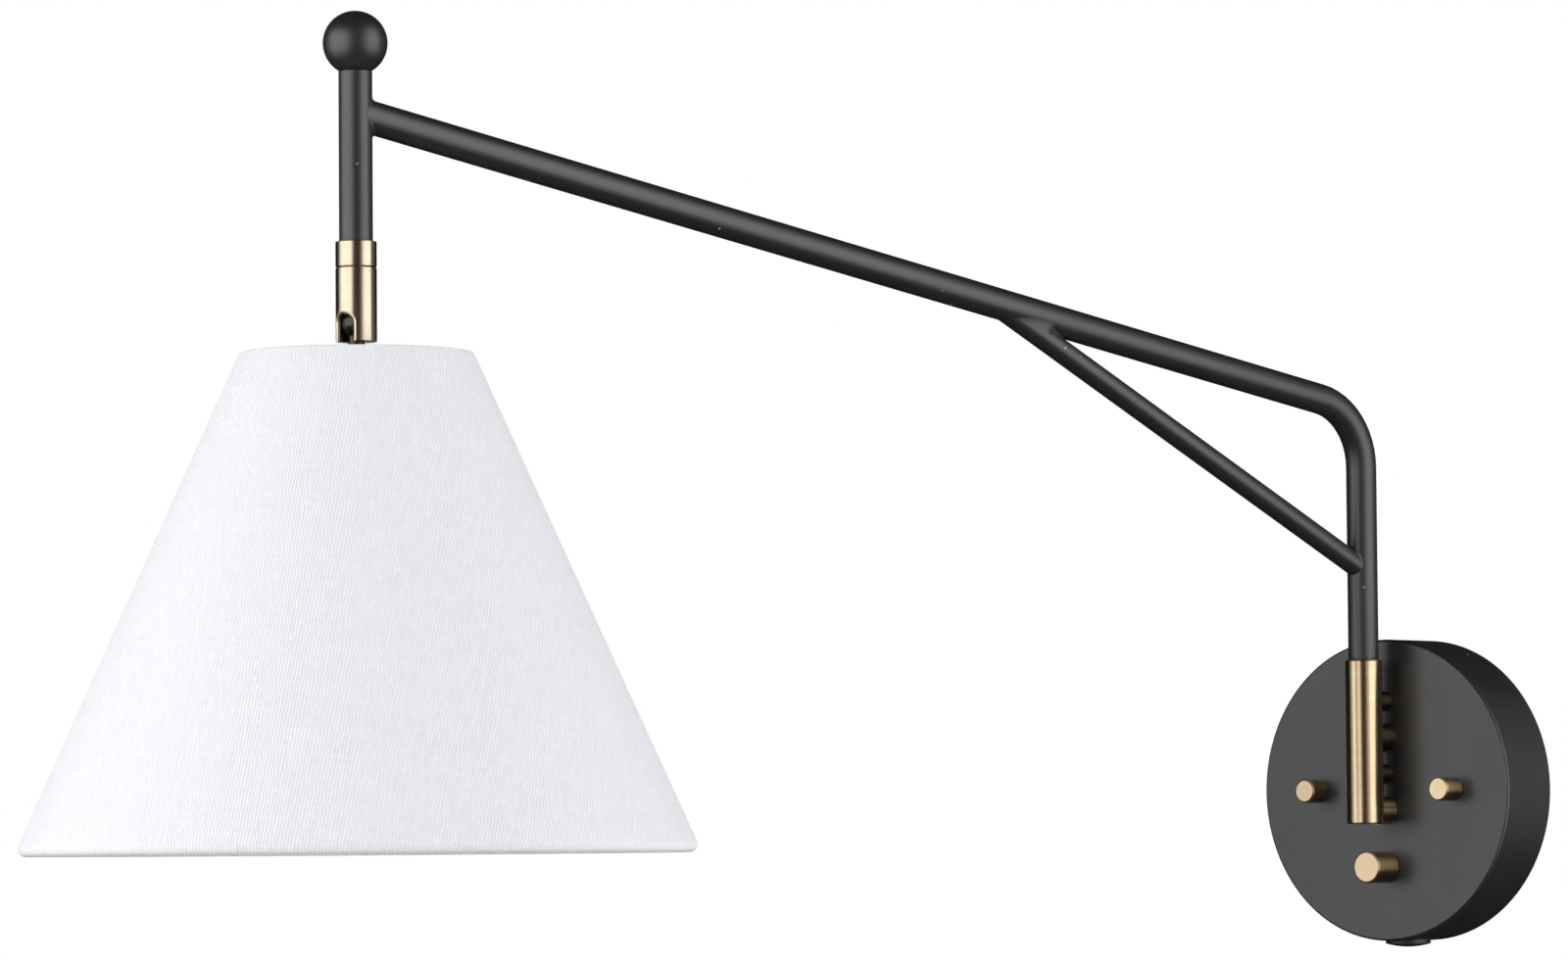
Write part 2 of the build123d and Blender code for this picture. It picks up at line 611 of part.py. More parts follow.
# Swivel collar: a brass ring with a socket for the drop tube
with BuildPart() as swivel_collar:
    with BuildSketch(level(drop, collar_bottom)):
        Circle(BRASS_DIA / 2)
        Circle(NIPPLE_DIA / 2 + THREAD_FIT, mode=Mode.SUBTRACT)
    extrude(amount=COLLAR_LENGTH)
    chamfer(swivel_collar.edges().filter_by(GeomType.CIRCLE).group_by(SortBy.RADIUS)[-1], SWIVEL_EDGE)
    with BuildSketch(level(drop, drop_bottom)):
        Circle(TUBE_DIA / 2 + THREAD_FIT)
    extrude(amount=COLLAR_SOCKET, mode=Mode.SUBTRACT)
swivel_collar.part.label = "swivel_collar"
export_step(swivel_collar.part, "parts/swivel_collar.step")

# Drop insert: a threaded plug in the drop tube, on the collar's floor
with BuildPart() as drop_insert:
    with BuildSketch(level(drop, drop_bottom)):
        Circle(TUBE_DIA / 2 - TUBE_WALL - THREAD_FIT)
        Circle(NIPPLE_DIA / 2 + THREAD_FIT, mode=Mode.SUBTRACT)
    extrude(amount=INSERT_LENGTH)
drop_insert.part.label = "drop_insert"
export_step(drop_insert.part, "parts/drop_insert.step")

# Swivel nipple: a hollow headed stud, screwed into the insert, that the sleeve turns on
nipple_bottom = nipple_head_top - NIPPLE_HEAD
with BuildPart() as swivel_nipple:
    with BuildSketch(level(drop, nipple_bottom)):
        Circle(socket_dia / 2 - SWING_GAP)
    extrude(amount=NIPPLE_HEAD)
    with BuildSketch(level(drop, nipple_head_top)):
        Circle(NIPPLE_DIA / 2)
    extrude(amount=drop_bottom + INSERT_LENGTH - nipple_head_top)
    with BuildSketch(level(drop, nipple_bottom)):
        Circle(WIRE_BORE / 2)
    extrude(amount=drop_bottom + INSERT_LENGTH - nipple_bottom, mode=Mode.SUBTRACT)
swivel_nipple.part.label = "swivel_nipple"
export_step(swivel_nipple.part, "parts/swivel_nipple.step")

# Swivel washer: friction washer on the nipple's head, under the sleeve's roof
with BuildPart() as swivel_washer:
    with BuildSketch(level(drop, nipple_head_top)):
        Circle(socket_dia / 2 - SWING_GAP)
        Circle(NIPPLE_DIA / 2 + THREAD_FIT, mode=Mode.SUBTRACT)
    extrude(amount=WASHER_THICKNESS)
swivel_washer.part.label = "swivel_washer"
export_step(swivel_washer.part, "parts/swivel_washer.step")

# Swivel sleeve: a bored brass sleeve with a ball socket and a round-topped slot for the neck
with BuildPart() as swivel_sleeve:
    with BuildSketch(level(drop, sleeve_bottom)):
        Circle(BRASS_DIA / 2)
    extrude(amount=SLEEVE_LENGTH)
    chamfer(swivel_sleeve.edges().filter_by(GeomType.CIRCLE), SWIVEL_EDGE)
    with BuildSketch(level(drop, tilt_z)):
        Circle(socket_dia / 2)
    extrude(amount=sleeve_roof_z - tilt_z, mode=Mode.SUBTRACT)
    with Locations((drop.X, drop.Y, tilt_z)):
        Sphere(socket_dia / 2, mode=Mode.SUBTRACT)
    with BuildSketch(level(drop, sleeve_bottom)):
        Circle(SLOT_WIDTH / 2)
    extrude(amount=TILT_HEIGHT, mode=Mode.SUBTRACT)
    with BuildSketch(level(drop, sleeve_roof_z)):
        Circle(NIPPLE_DIA / 2 + RUNNING_FIT)
    extrude(amount=SLEEVE_ROOF, mode=Mode.SUBTRACT)
    with BuildSketch(slot_side):
        with Locations((0, tilt_z)):
            Circle(SLOT_WIDTH / 2)
        with Locations((0, tilt_z - TILT_HEIGHT / 2)):
            Rectangle(SLOT_WIDTH, TILT_HEIGHT)
    extrude(amount=BRASS_DIA, mode=Mode.SUBTRACT)
    outside = swivel_sleeve.faces().filter_by(GeomType.CYLINDER).sort_by(SortBy.AREA)[-1]
    mouth = outside.edges().filter_by(lambda edge: edge.geom_type != GeomType.CIRCLE)
    fillet(mouth, SLOT_EDGE)
swivel_sleeve.part.label = "swivel_sleeve"
export_step(swivel_sleeve.part, "parts/swivel_sleeve.step")

# Ball seat: a nylon cup between the nipple's head and the ball
seat_bottom = tilt_z + SWIVEL_BALL_DIA / 2 - SEAT_COVER
with BuildPart() as ball_seat:
    with BuildSketch(level(drop, seat_bottom)):
        Circle(socket_dia / 2 - SEAT_GAP)
        Circle(WIRE_BORE / 2, mode=Mode.SUBTRACT)
    extrude(amount=nipple_bottom - END_PLAY - seat_bottom)
    with Locations((drop.X, drop.Y, tilt_z)):
        Sphere(SWIVEL_BALL_DIA / 2 + SWING_GAP, mode=Mode.SUBTRACT)
ball_seat.part.label = "ball_seat"
export_step(ball_seat.part, "parts/ball_seat.step")

# Swivel ball: a hollow ball with the neck that carries the lampholder
neck_bottom = cap_top - CAP_WALL - NECK_NUT_HEIGHT - NECK_TAIL
with BuildPart() as swivel_ball:
    with Locations((drop.X, drop.Y, tilt_z)):
        Sphere(SWIVEL_BALL_DIA / 2)
    with BuildSketch(level(drop, neck_bottom)):
        Circle(NECK_DIA / 2)
    extrude(amount=tilt_z - neck_bottom)
    with BuildSketch(level(drop, neck_bottom)):
        Circle(NECK_BORE / 2)
    extrude(amount=tilt_z - neck_bottom + SWIVEL_BALL_DIA, mode=Mode.SUBTRACT)
swivel_ball.part.label = "swivel_ball"
export_step(swivel_ball.part, "parts/swivel_ball.step")

# Neck nuts: one above and one below the cap's roof
with BuildPart() as neck_nuts:
    for height in (cap_top, cap_top - CAP_WALL - NECK_NUT_HEIGHT):
        with BuildSketch(level(drop, height)):
            RegularPolygon(hex_radius(NECK_NUT_FLATS), 6)
            Circle(NECK_DIA / 2 + THREAD_FIT, mode=Mode.SUBTRACT)
        extrude(amount=NECK_NUT_HEIGHT)
neck_nuts.part.label = "neck_nuts"
export_step(neck_nuts.part, "parts/neck_nuts.step")

# Socket cap: a metal cup over the lampholder
with BuildPart() as socket_cap:
    with BuildSketch(level(drop, holder_top)):
        Circle(CAP_DIA / 2)
    extrude(amount=CAP_HEIGHT)
    fillet(socket_cap.faces().sort_by(Axis.Z)[-1].edges(), CAP_EDGE)
    offset(amount=-CAP_WALL, openings=socket_cap.faces().sort_by(Axis.Z)[0])
    with BuildSketch(level(drop, holder_top)):
        Circle(NECK_DIA / 2 + THREAD_FIT)
    extrude(amount=CAP_HEIGHT, mode=Mode.SUBTRACT)
socket_cap.part.label = "socket_cap"
export_step(socket_cap.part, "parts/socket_cap.step")

# Lampholder: a collar under the cap and a threaded skirt, bored for the screw shell
with BuildPart() as lampholder:
    with BuildSketch(level(drop, shoulder_z)):
        Circle(CAP_DIA / 2)
    extrude(amount=HOLDER_COLLAR)
    with BuildSketch(level(drop, holder_bottom)):
        Circle(HOLDER_SKIRT_DIA / 2)
    extrude(amount=HOLDER_SKIRT_LENGTH)
    with BuildSketch(level(drop, holder_bottom)):
        Circle(holder_bore / 2)
    extrude(amount=holder_roof_z - holder_bottom, mode=Mode.SUBTRACT)
lampholder.part.label = "lampholder"
export_step(lampholder.part, "parts/lampholder.step")

# Screw shell: the brass thread sleeve for the lamp's cap
with BuildPart() as screw_shell:
    with BuildSketch(level(drop, holder_roof_z - SHELL_SETBACK - SHELL_LENGTH)):
        Circle(SHELL_BORE / 2 + SHELL_WALL)
        Circle(SHELL_BORE / 2, mode=Mode.SUBTRACT)
    extrude(amount=SHELL_LENGTH)
screw_shell.part.label = "screw_shell"
export_step(screw_shell.part, "parts/screw_shell.step")

# Centre contact: a low button on the lampholder's roof
with BuildPart() as centre_contact:
    with BuildSketch(level(drop, holder_roof_z)):
        Circle(CONTACT_DIA / 2)
    extrude(amount=-CONTACT_HEIGHT)
    fillet(centre_contact.faces().sort_by(Axis.Z)[0].edges(), CONTACT_HEIGHT / 2)
centre_contact.part.label = "centre_contact"
export_step(centre_contact.part, "parts/centre_contact.step")

# Shade ring nut: clamps the fitter against the lampholder's shoulder
with BuildPart() as shade_ring_nut:
    with BuildSketch(level(drop, fitter_z)):
        Circle(RING_NUT_DIA / 2)
        Circle(HOLDER_SKIRT_DIA / 2 + THREAD_FIT, mode=Mode.SUBTRACT)
    extrude(amount=-RING_NUT_HEIGHT)
shade_ring_nut.part.label = "shade_ring_nut"
export_step(shade_ring_nut.part, "parts/shade_ring_nut.step")

# Shade spider: fitter plate, three wire spokes and the shade's top ring
top_wire_ring = shade_radius(top_wire_z, FABRIC + GLUE_LINE + LINER + SEAT_GAP + TOP_WIRE_DIA / 2)
spoke_foot = (FITTER_DIA - TOP_WIRE_DIA) / 2
with BuildPart() as shade_spider:
    with BuildSketch(level(drop, fitter_z)):
        Circle(FITTER_DIA / 2)
        Circle(HOLDER_SKIRT_DIA / 2 + HOLE_PLAY, mode=Mode.SUBTRACT)
    extrude(amount=FITTER_THICKNESS)
    with Locations((drop.X, drop.Y, top_wire_z)):
        Torus(top_wire_ring, TOP_WIRE_DIA / 2)
    for spoke in range(SPOKE_COUNT):
        spoke_out = out.rotate(Axis.Z, 360 / SPOKE_COUNT * (spoke + 0.5))
        foot = drop + spoke_out * spoke_foot + Vector(0, 0, fitter_z + FITTER_THICKNESS / 2)
        tip = drop + spoke_out * top_wire_ring + Vector(0, 0, top_wire_z)
        with BuildSketch(Plane(origin=foot, z_dir=tip - foot)):
            Circle(TOP_WIRE_DIA / 2)
        extrude(amount=(tip - foot).length)
shade_spider.part.label = "shade_spider"
export_step(shade_spider.part, "parts/shade_spider.step")

# Shade bottom ring: the wire in the lower hem
with BuildPart() as shade_bottom_ring:
    with Locations((drop.X, drop.Y, bottom_wire_z)):
        Torus(bottom_wire_ring, bottom_wire_radius)
shade_bottom_ring.part.label = "shade_bottom_ring"
export_step(shade_bottom_ring.part, "parts/shade_bottom_ring.step")

# Shade liner: a stiff cone glued behind the fabric, from the top turn-in to above the hem
liner_top = shade_top - FABRIC - SEAT_GAP
liner_bottom = shade_bottom + 2 * HEM_RADIUS
with BuildPart() as shade_liner:
    with BuildSketch(drop_side):
        with BuildLine():
            Polyline(
                (shade_radius(liner_top, FABRIC + GLUE_LINE), liner_top),
                (shade_radius(liner_bottom, FABRIC + GLUE_LINE), liner_bottom),
                (shade_radius(liner_bottom, FABRIC + GLUE_LINE + LINER), liner_bottom),
                (shade_radius(liner_top, FABRIC + GLUE_LINE + LINER), liner_top),
                close=True,
            )
        make_face()
    revolve(axis=drop_axis)
shade_liner.part.label = "shade_liner"
export_step(shade_liner.part, "parts/shade_liner.step")

# Shade fabric: a cone turned in over the top ring and rolled round the bottom ring
with BuildPart() as shade_fabric:
    with BuildSketch(drop_side):
        with BuildLine():
            cover = FilletPolyline(
                (SHADE_TOP_DIA / 2 - TOP_TURN_IN, shade_top),
                (SHADE_TOP_DIA / 2, shade_top),
                (SHADE_BOTTOM_DIA / 2, shade_bottom),
                (SHADE_BOTTOM_DIA / 2 - BOTTOM_TURN_IN, shade_bottom),
                radius=[TOP_EDGE, HEM_RADIUS],
            )
            offset(cover, amount=FABRIC, side=Side.RIGHT)
        make_face()
    revolve(axis=drop_axis)
shade_fabric.part.label = "shade_fabric"
export_step(shade_fabric.part, "parts/shade_fabric.step")
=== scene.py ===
"""Swing arm wall sconce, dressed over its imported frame. Lengths are in metres, as in the frame."""

import math

import bpy
from mathutils import Matrix, Vector


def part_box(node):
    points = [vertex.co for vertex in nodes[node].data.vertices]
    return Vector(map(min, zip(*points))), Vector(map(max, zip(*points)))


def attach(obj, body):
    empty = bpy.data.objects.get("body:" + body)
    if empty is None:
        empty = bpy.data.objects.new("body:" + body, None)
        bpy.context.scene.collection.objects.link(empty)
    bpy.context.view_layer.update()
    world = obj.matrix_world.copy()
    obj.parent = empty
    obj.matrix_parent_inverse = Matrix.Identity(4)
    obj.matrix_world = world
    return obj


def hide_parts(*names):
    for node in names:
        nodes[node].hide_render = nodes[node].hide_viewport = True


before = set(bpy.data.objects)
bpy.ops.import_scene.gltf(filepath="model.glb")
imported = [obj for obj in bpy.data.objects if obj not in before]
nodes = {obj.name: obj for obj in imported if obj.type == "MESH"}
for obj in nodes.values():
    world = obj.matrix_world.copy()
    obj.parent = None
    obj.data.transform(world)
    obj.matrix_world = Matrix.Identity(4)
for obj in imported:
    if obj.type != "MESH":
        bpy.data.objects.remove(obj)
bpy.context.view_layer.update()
bpy.ops.object.select_all(action="DESELECT")


# Canopy: a round pan pressed from sheet steel, open at the back, that hides the wall box.
# It is sprayed with black polyester powder and baked, and two brass nuts hold it to the strap.
def linear(hex_colour):
    """An sRGB hex colour as linear RGBA."""
    parts = [int(hex_colour[i : i + 2], 16) / 255 for i in (1, 3, 5)]
    return [c / 12.92 if c <= 0.04045 else ((c + 0.055) / 1.055) ** 2.4 for c in parts] + [1.0]


def add_node(tree, kind, sockets=None, **settings):
    """One node with its settings. A socket takes a value, or another node's output to link."""
    node = tree.nodes.new(kind)
    for name, value in settings.items():
        setattr(node, name, value)
    for name, value in (sockets or {}).items():
        if isinstance(value, bpy.types.NodeSocket):
            tree.links.new(value, node.inputs[name])
        else:
            node.inputs[name].default_value = value
    return node


def new_finish(name):
    """A material with its node tree and its shader."""
    finish = bpy.data.materials.new(name)
    finish.use_nodes = True
    return finish, finish.node_tree, finish.node_tree.nodes["Principled BSDF"]


def dress(finish, *names):
    """Gives CAD nodes a finish."""
    for name in names:
        nodes[name].data.materials.clear()
        nodes[name].data.materials.append(finish)


# Black polyester powder coat, sprayed and baked: satin, with a faint orange peel about 1.4 mm
# across, slow changes in gloss, and a few dust nibs about a millimetre wide.
powder_coat, tree, shader = new_finish("black_powder_coat_baked")
peel_size = 0.0014
gloss_cloud_size = 0.018
nib_spacing = 0.008
nib_threshold = 0.62
place = add_node(tree, "ShaderNodeTexCoord").outputs["Object"]
peel = add_node(
    tree,
    "ShaderNodeTexNoise",
    {"Vector": place, "Scale": 1 / peel_size, "Detail": 2.0, "Roughness": 0.45},
)
cloud = add_node(
    tree,
    "ShaderNodeTexNoise",
    {"Vector": place, "Scale": 1 / gloss_cloud_size, "Detail": 3.0},
)
shades = add_node(
    tree,
    "ShaderNodeMix",
    {"Factor": cloud.outputs["Fac"], "A": linear("#1b1c1d"), "B": linear("#232324")},
    data_type="RGBA",
)
nib_cells = add_node(tree, "ShaderNodeTexVoronoi", {"Vector": place, "Scale": 1 / nib_spacing})
nib_spot = add_node(
    tree,
    "ShaderNodeMapRange",
    {
        "Value": nib_cells.outputs["Distance"],
        "From Min": 0.035,
        "From Max": 0.065,
        "To Min": 1.0,
        "To Max": 0.0,
    },
)
nib_pick = add_node(
    tree,
    "ShaderNodeMath",
    {0: nib_cells.outputs["Color"], 1: nib_threshold},
    operation="GREATER_THAN",
)
nibs = add_node(
    tree,
    "ShaderNodeMath",
    {0: nib_spot.outputs[0], 1: nib_pick.outputs[0]},
    operation="MULTIPLY",
)
tint = add_node(
    tree,
    "ShaderNodeMix",
    {"Factor": nibs.outputs[0], "A": shades.outputs["Result"], "B": linear("#b3b2ae")},
    data_type="RGBA",
)
gloss = add_node(
    tree,
    "ShaderNodeMapRange",
    {"Value": cloud.outputs["Fac"], "To Min": 0.36, "To Max": 0.44},
)
bumps = add_node(
    tree,
    "ShaderNodeMath",
    {0: nibs.outputs[0], 1: 1.5, 2: peel.outputs["Fac"]},
    operation="MULTIPLY_ADD",
)
relief = add_node(
    tree,
    "ShaderNodeBump",
    {"Height": bumps.outputs[0], "Strength": 0.5, "Distance": 0.00002},
)
tree.links.new(tint.outputs["Result"], shader.inputs["Base Color"])
tree.links.new(gloss.outputs[0], shader.inputs["Roughness"])
tree.links.new(relief.outputs["Normal"], shader.inputs["Normal"])
shader.inputs["Specular IOR Level"].default_value = 0.63
dress(powder_coat, "canopy")


# Strap and fixings behind the canopy: a steel crossbar, two studs with lock nuts, and the screws
# and nuts of the posts. All are zinc plated and passivated; the earth screw is dyed green.
def plated_steel(name, pale, dark, rough):
    """Zinc on steel: fine grain of about 0.5 mm, and a cloudy passivation some 6 mm across that is a
    little chalky, so the metal is not a full mirror."""
    grain_size = 0.0005
    cloud_size = 0.006
    gloss_range = 0.07
    finish, tree, shader = new_finish(name)
    place = add_node(tree, "ShaderNodeTexCoord").outputs["Object"]
    grain = add_node(
        tree,
        "ShaderNodeTexNoise",
        {"Vector": place, "Scale": 1 / grain_size, "Detail": 2.0},
    )
    cloud = add_node(
        tree,
        "ShaderNodeTexNoise",
        {"Vector": place, "Scale": 1 / cloud_size, "Detail": 3.0},
    )
    tint = add_node(
        tree,
        "ShaderNodeMix",
        {"Factor": cloud.outputs["Fac"], "A": linear(dark), "B": linear(pale)},
        data_type="RGBA",
    )
    gloss = add_node(
        tree,
        "ShaderNodeMapRange",
        {"Value": cloud.outputs["Fac"], "To Min": rough - gloss_range, "To Max": rough + gloss_range},
    )
    relief = add_node(
        tree,
        "ShaderNodeBump",
        {"Height": grain.outputs["Fac"], "Strength": 0.3, "Distance": 0.00001},
    )
    tree.links.new(tint.outputs["Result"], shader.inputs["Base Color"])
    tree.links.new(gloss.outputs[0], shader.inputs["Roughness"])
    tree.links.new(relief.outputs["Normal"], shader.inputs["Normal"])
    shader.inputs["Metallic"].default_value = 0.6
    return finish


zinc = plated_steel("zinc_plated_steel_passivated", "#d3d5d6", "#b4b2a9", 0.36)
dress(zinc, "mounting_strap", "canopy_studs", "stud_lock_nuts", "post_screws", "post_nuts")
dress(plated_steel("green_dyed_zinc_screw", "#3f8a55", "#2c6d40", 0.4), "ground_screw")


# Brass nuts, posts, barrel and knob: turned from rod and tube, brushed, browned and lacquered.
# The nuts screw on the studs, the posts hold the barrel off the canopy, the knob is on the switch.
def turned_brass(name, axis, centre, pale="#c0a579", dark="#aa9063"):
    """Antique brass with brushing round its axis. Real brush lines are about 0.05 mm apart; they are
    drawn 0.35 mm apart so that they show. On an end face they become rings."""
    line_gap = 0.00035
    band_gap = 0.003
    stain_size = 0.004
    finish, tree, shader = new_finish(name)
    place = add_node(tree, "ShaderNodeTexCoord").outputs["Object"]
    moved = add_node(tree, "ShaderNodeVectorMath", {0: place, 1: [-c for c in centre]}, operation="ADD")
    turned = add_node(
        tree,
        "ShaderNodeMapping",
        {"Vector": moved.outputs[0], "Rotation": (math.radians(90), 0, 0) if axis == "Y" else (0, 0, 0)},
    )
    flat = add_node(
        tree,
        "ShaderNodeVectorMath",
        {0: turned.outputs[0], 1: (1, 1, 0)},
        operation="MULTIPLY",
    )
    radius = add_node(tree, "ShaderNodeVectorMath", {0: flat.outputs[0]}, operation="LENGTH")
    parts = add_node(tree, "ShaderNodeSeparateXYZ", {0: turned.outputs[0]})
    along = add_node(
        tree,
        "ShaderNodeMath",
        {0: parts.outputs["Z"], 1: radius.outputs["Value"]},
        operation="ADD",
    )
    lines = add_node(
        tree,
        "ShaderNodeCombineXYZ",
        {"X": parts.outputs["X"], "Y": parts.outputs["Y"], "Z": along.outputs[0]},
    )
    fine = add_node(
        tree,
        "ShaderNodeVectorMath",
        {0: lines.outputs[0], 1: (90, 90, 1 / line_gap)},
        operation="MULTIPLY",
    )
    broad = add_node(
        tree,
        "ShaderNodeVectorMath",
        {0: lines.outputs[0], 1: (60, 60, 1 / band_gap)},
        operation="MULTIPLY",
    )
    brush = add_node(
        tree,
        "ShaderNodeTexNoise",
        {"Vector": fine.outputs[0], "Scale": 1.0, "Detail": 2.0},
    )
    bands = add_node(
        tree,
        "ShaderNodeTexNoise",
        {"Vector": broad.outputs[0], "Scale": 1.0, "Detail": 2.0},
    )
    stain = add_node(
        tree,
        "ShaderNodeTexNoise",
        {"Vector": place, "Scale": 1 / stain_size, "Detail": 4.0, "Roughness": 0.6},
    )
    metal = add_node(
        tree,
        "ShaderNodeMix",
        {"Factor": bands.outputs["Fac"], "A": linear(dark), "B": linear(pale)},
        data_type="RGBA",
    )
    stains = add_node(
        tree,
        "ShaderNodeMapRange",
        {"Value": stain.outputs["Fac"], "From Min": 0.5, "From Max": 0.8, "To Max": 0.2},
    )
    browned = add_node(
        tree,
        "ShaderNodeMix",
        {"Factor": stains.outputs[0], "A": metal.outputs["Result"], "B": linear("#8a744f")},
        data_type="RGBA",
    )
    scratch = add_node(
        tree,
        "ShaderNodeMapRange",
        {"Value": brush.outputs["Fac"], "From Min": 0.3, "From Max": 0.7, "To Min": 0.92, "To Max": 1.0},
    )
    tint = add_node(
        tree,
        "ShaderNodeVectorMath",
        {0: browned.outputs["Result"], "Scale": scratch.outputs[0]},
        operation="SCALE",
    )
    gloss = add_node(
        tree,
        "ShaderNodeMapRange",
        {"Value": brush.outputs["Fac"], "To Min": 0.3, "To Max": 0.4},
    )
    relief = add_node(
        tree,
        "ShaderNodeBump",
        {"Height": brush.outputs["Fac"], "Strength": 0.25, "Distance": 0.000008},
    )
    ring = add_node(
        tree,
        "ShaderNodeVectorMath",
        {
            0: add_node(tree, "ShaderNodeTexCoord").outputs["Normal"],
            1: (0, 1, 0.1) if axis == "Y" else (0, 0.1, 1),
        },
        operation="CROSS_PRODUCT",
    )
    brushed = add_node(
        tree,
        "ShaderNodeVectorTransform",
        {0: ring.outputs[0]},
        vector_type="VECTOR",
        convert_from="OBJECT",
        convert_to="WORLD",
    )
    tree.links.new(tint.outputs[0], shader.inputs["Base Color"])
    tree.links.new(gloss.outputs[0], shader.inputs["Roughness"])
    tree.links.new(relief.outputs["Normal"], shader.inputs["Normal"])
    tree.links.new(brushed.outputs[0], shader.inputs["Tangent"])
    shader.inputs["Metallic"].default_value = 1.0
    shader.inputs["Anisotropic"].default_value = 0.9
    shader.inputs["Anisotropic Rotation"].default_value = 0.25
    shader.inputs["Coat Weight"].default_value = 1.0
    shader.inputs["Coat Roughness"].default_value = 0.25
    shader.inputs["Coat IOR"].default_value = 1.8
    return finish


def middle(name):
    """The centre of a CAD node's box."""
    low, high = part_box(name)
    return (low + high) / 2


for name in ("thumb_nut_left", "thumb_nut_right", "lower_stout_post", "switch_knob"):
    dress(turned_brass(f"antique_brass_turned_{name}", "Y", middle(name)), name)
# The three upper posts sit in the barrel's shadow, so they get a darker copy of the same brass: painted
# shade.
for name in ("upper_slim_post", "lower_slim_post", "upper_stout_post"):
    dress(turned_brass(f"antique_brass_painted_shade_{name}", "Y", middle(name), "#6a563a", "#54432c"), name)
barrel_brass = turned_brass("antique_brass_turned_barrel", "Z", middle("pivot_barrel"))
dress(barrel_brass, "pivot_barrel", "barrel_end_plug")


# Bushes and ball seat: turned from natural nylon rod, pressed or dropped into their bores.
# Nylon is a warm off-white, slightly waxy and cloudy.
nylon, tree, shader = new_finish("natural_nylon_turned")
nylon_cloud_size = 0.003
place = add_node(tree, "ShaderNodeTexCoord").outputs["Object"]
cloud = add_node(
    tree,
    "ShaderNodeTexNoise",
    {"Vector": place, "Scale": 1 / nylon_cloud_size, "Detail": 3.0},
)
tint = add_node(
    tree,
    "ShaderNodeMix",
    {"Factor": cloud.outputs["Fac"], "A": linear("#e3dfd0"), "B": linear("#eeebdf")},
    data_type="RGBA",
)
relief = add_node(
    tree,
    "ShaderNodeBump",
    {"Height": cloud.outputs["Fac"], "Strength": 0.2, "Distance": 0.00005},
)
tree.links.new(tint.outputs["Result"], shader.inputs["Base Color"])
tree.links.new(relief.outputs["Normal"], shader.inputs["Normal"])
shader.inputs["Roughness"].default_value = 0.45
dress(nylon, "upper_bush", "lower_bush", "ball_seat")


# Switch, plug, thrust washer, lampholder and ring nut: pressed from black thermoset moulding powder.
# The moulds are spark eroded, so the surface is matt with a grain of about 0.4 mm.
moulding, tree, shader = new_finish("black_thermoset_moulded")
mould_grain_size = 0.0004
mould_cloud_size = 0.012
place = add_node(tree, "ShaderNodeTexCoord").outputs["Object"]
grain = add_node(
    tree,
    "ShaderNodeTexNoise",
    {"Vector": place, "Scale": 1 / mould_grain_size, "Detail": 3.0},
)
cloud = add_node(
    tree,
    "ShaderNodeTexNoise",
    {"Vector": place, "Scale": 1 / mould_cloud_size, "Detail": 2.0},
)
tint = add_node(
    tree,
    "ShaderNodeMix",
    {"Factor": cloud.outputs["Fac"], "A": linear("#1d1d1d"), "B": linear("#272625")},
    data_type="RGBA",
)
gloss = add_node(
    tree,
    "ShaderNodeMapRange",
    {"Value": grain.outputs["Fac"], "To Min": 0.42, "To Max": 0.58},
)
relief = add_node(
    tree,
    "ShaderNodeBump",
    {"Height": grain.outputs["Fac"], "Strength": 0.4, "Distance": 0.00003},
)
tree.links.new(tint.outputs["Result"], shader.inputs["Base Color"])
tree.links.new(gloss.outputs[0], shader.inputs["Roughness"])
tree.links.new(relief.outputs["Normal"], shader.inputs["Normal"])
dress(moulding, "thrust_washer", "switch_body", "cord_hole_plug", "lampholder", "shade_ring_nut")
dress(zinc, "switch_nut", "switch_shaft")


# Arm: a bent steel tube, a thinner brace and an upright drop tube, coped and welded together, with
# a ball on top. All is powder coated in one go, so the coat runs over the dressed welds.
dress(powder_coat, "arm_tube", "brace_tube", "drop_tube", "ball_finial")
dress(zinc, "pivot_spigot", "spigot_clip")

swing = math.radians(10.09)
rise = math.radians(10.395)
pivot_stand_off = 0.044
arm_reach = 0.5137
corner_height = 0.15953
brace_foot_height = 0.0925
brace_reach = 0.2009
tube_radius = 0.00635
brace_radius = 0.0047625
upright = Vector((0, 0, 1))
arm_out = Vector((-math.sin(swing), -math.cos(swing), 0))
pivot_foot = Vector((0, -pivot_stand_off, 0))
drop_foot = pivot_foot + arm_out * arm_reach
arm_way = (arm_out * math.cos(rise) + upright * math.sin(rise)).normalized()
arm_corner = pivot_foot + upright * corner_height
arm_end = arm_corner + arm_way * (arm_reach / math.cos(rise))
brace_low = pivot_foot + upright * brace_foot_height
brace_high = arm_corner + arm_way * (brace_reach / math.cos(rise))


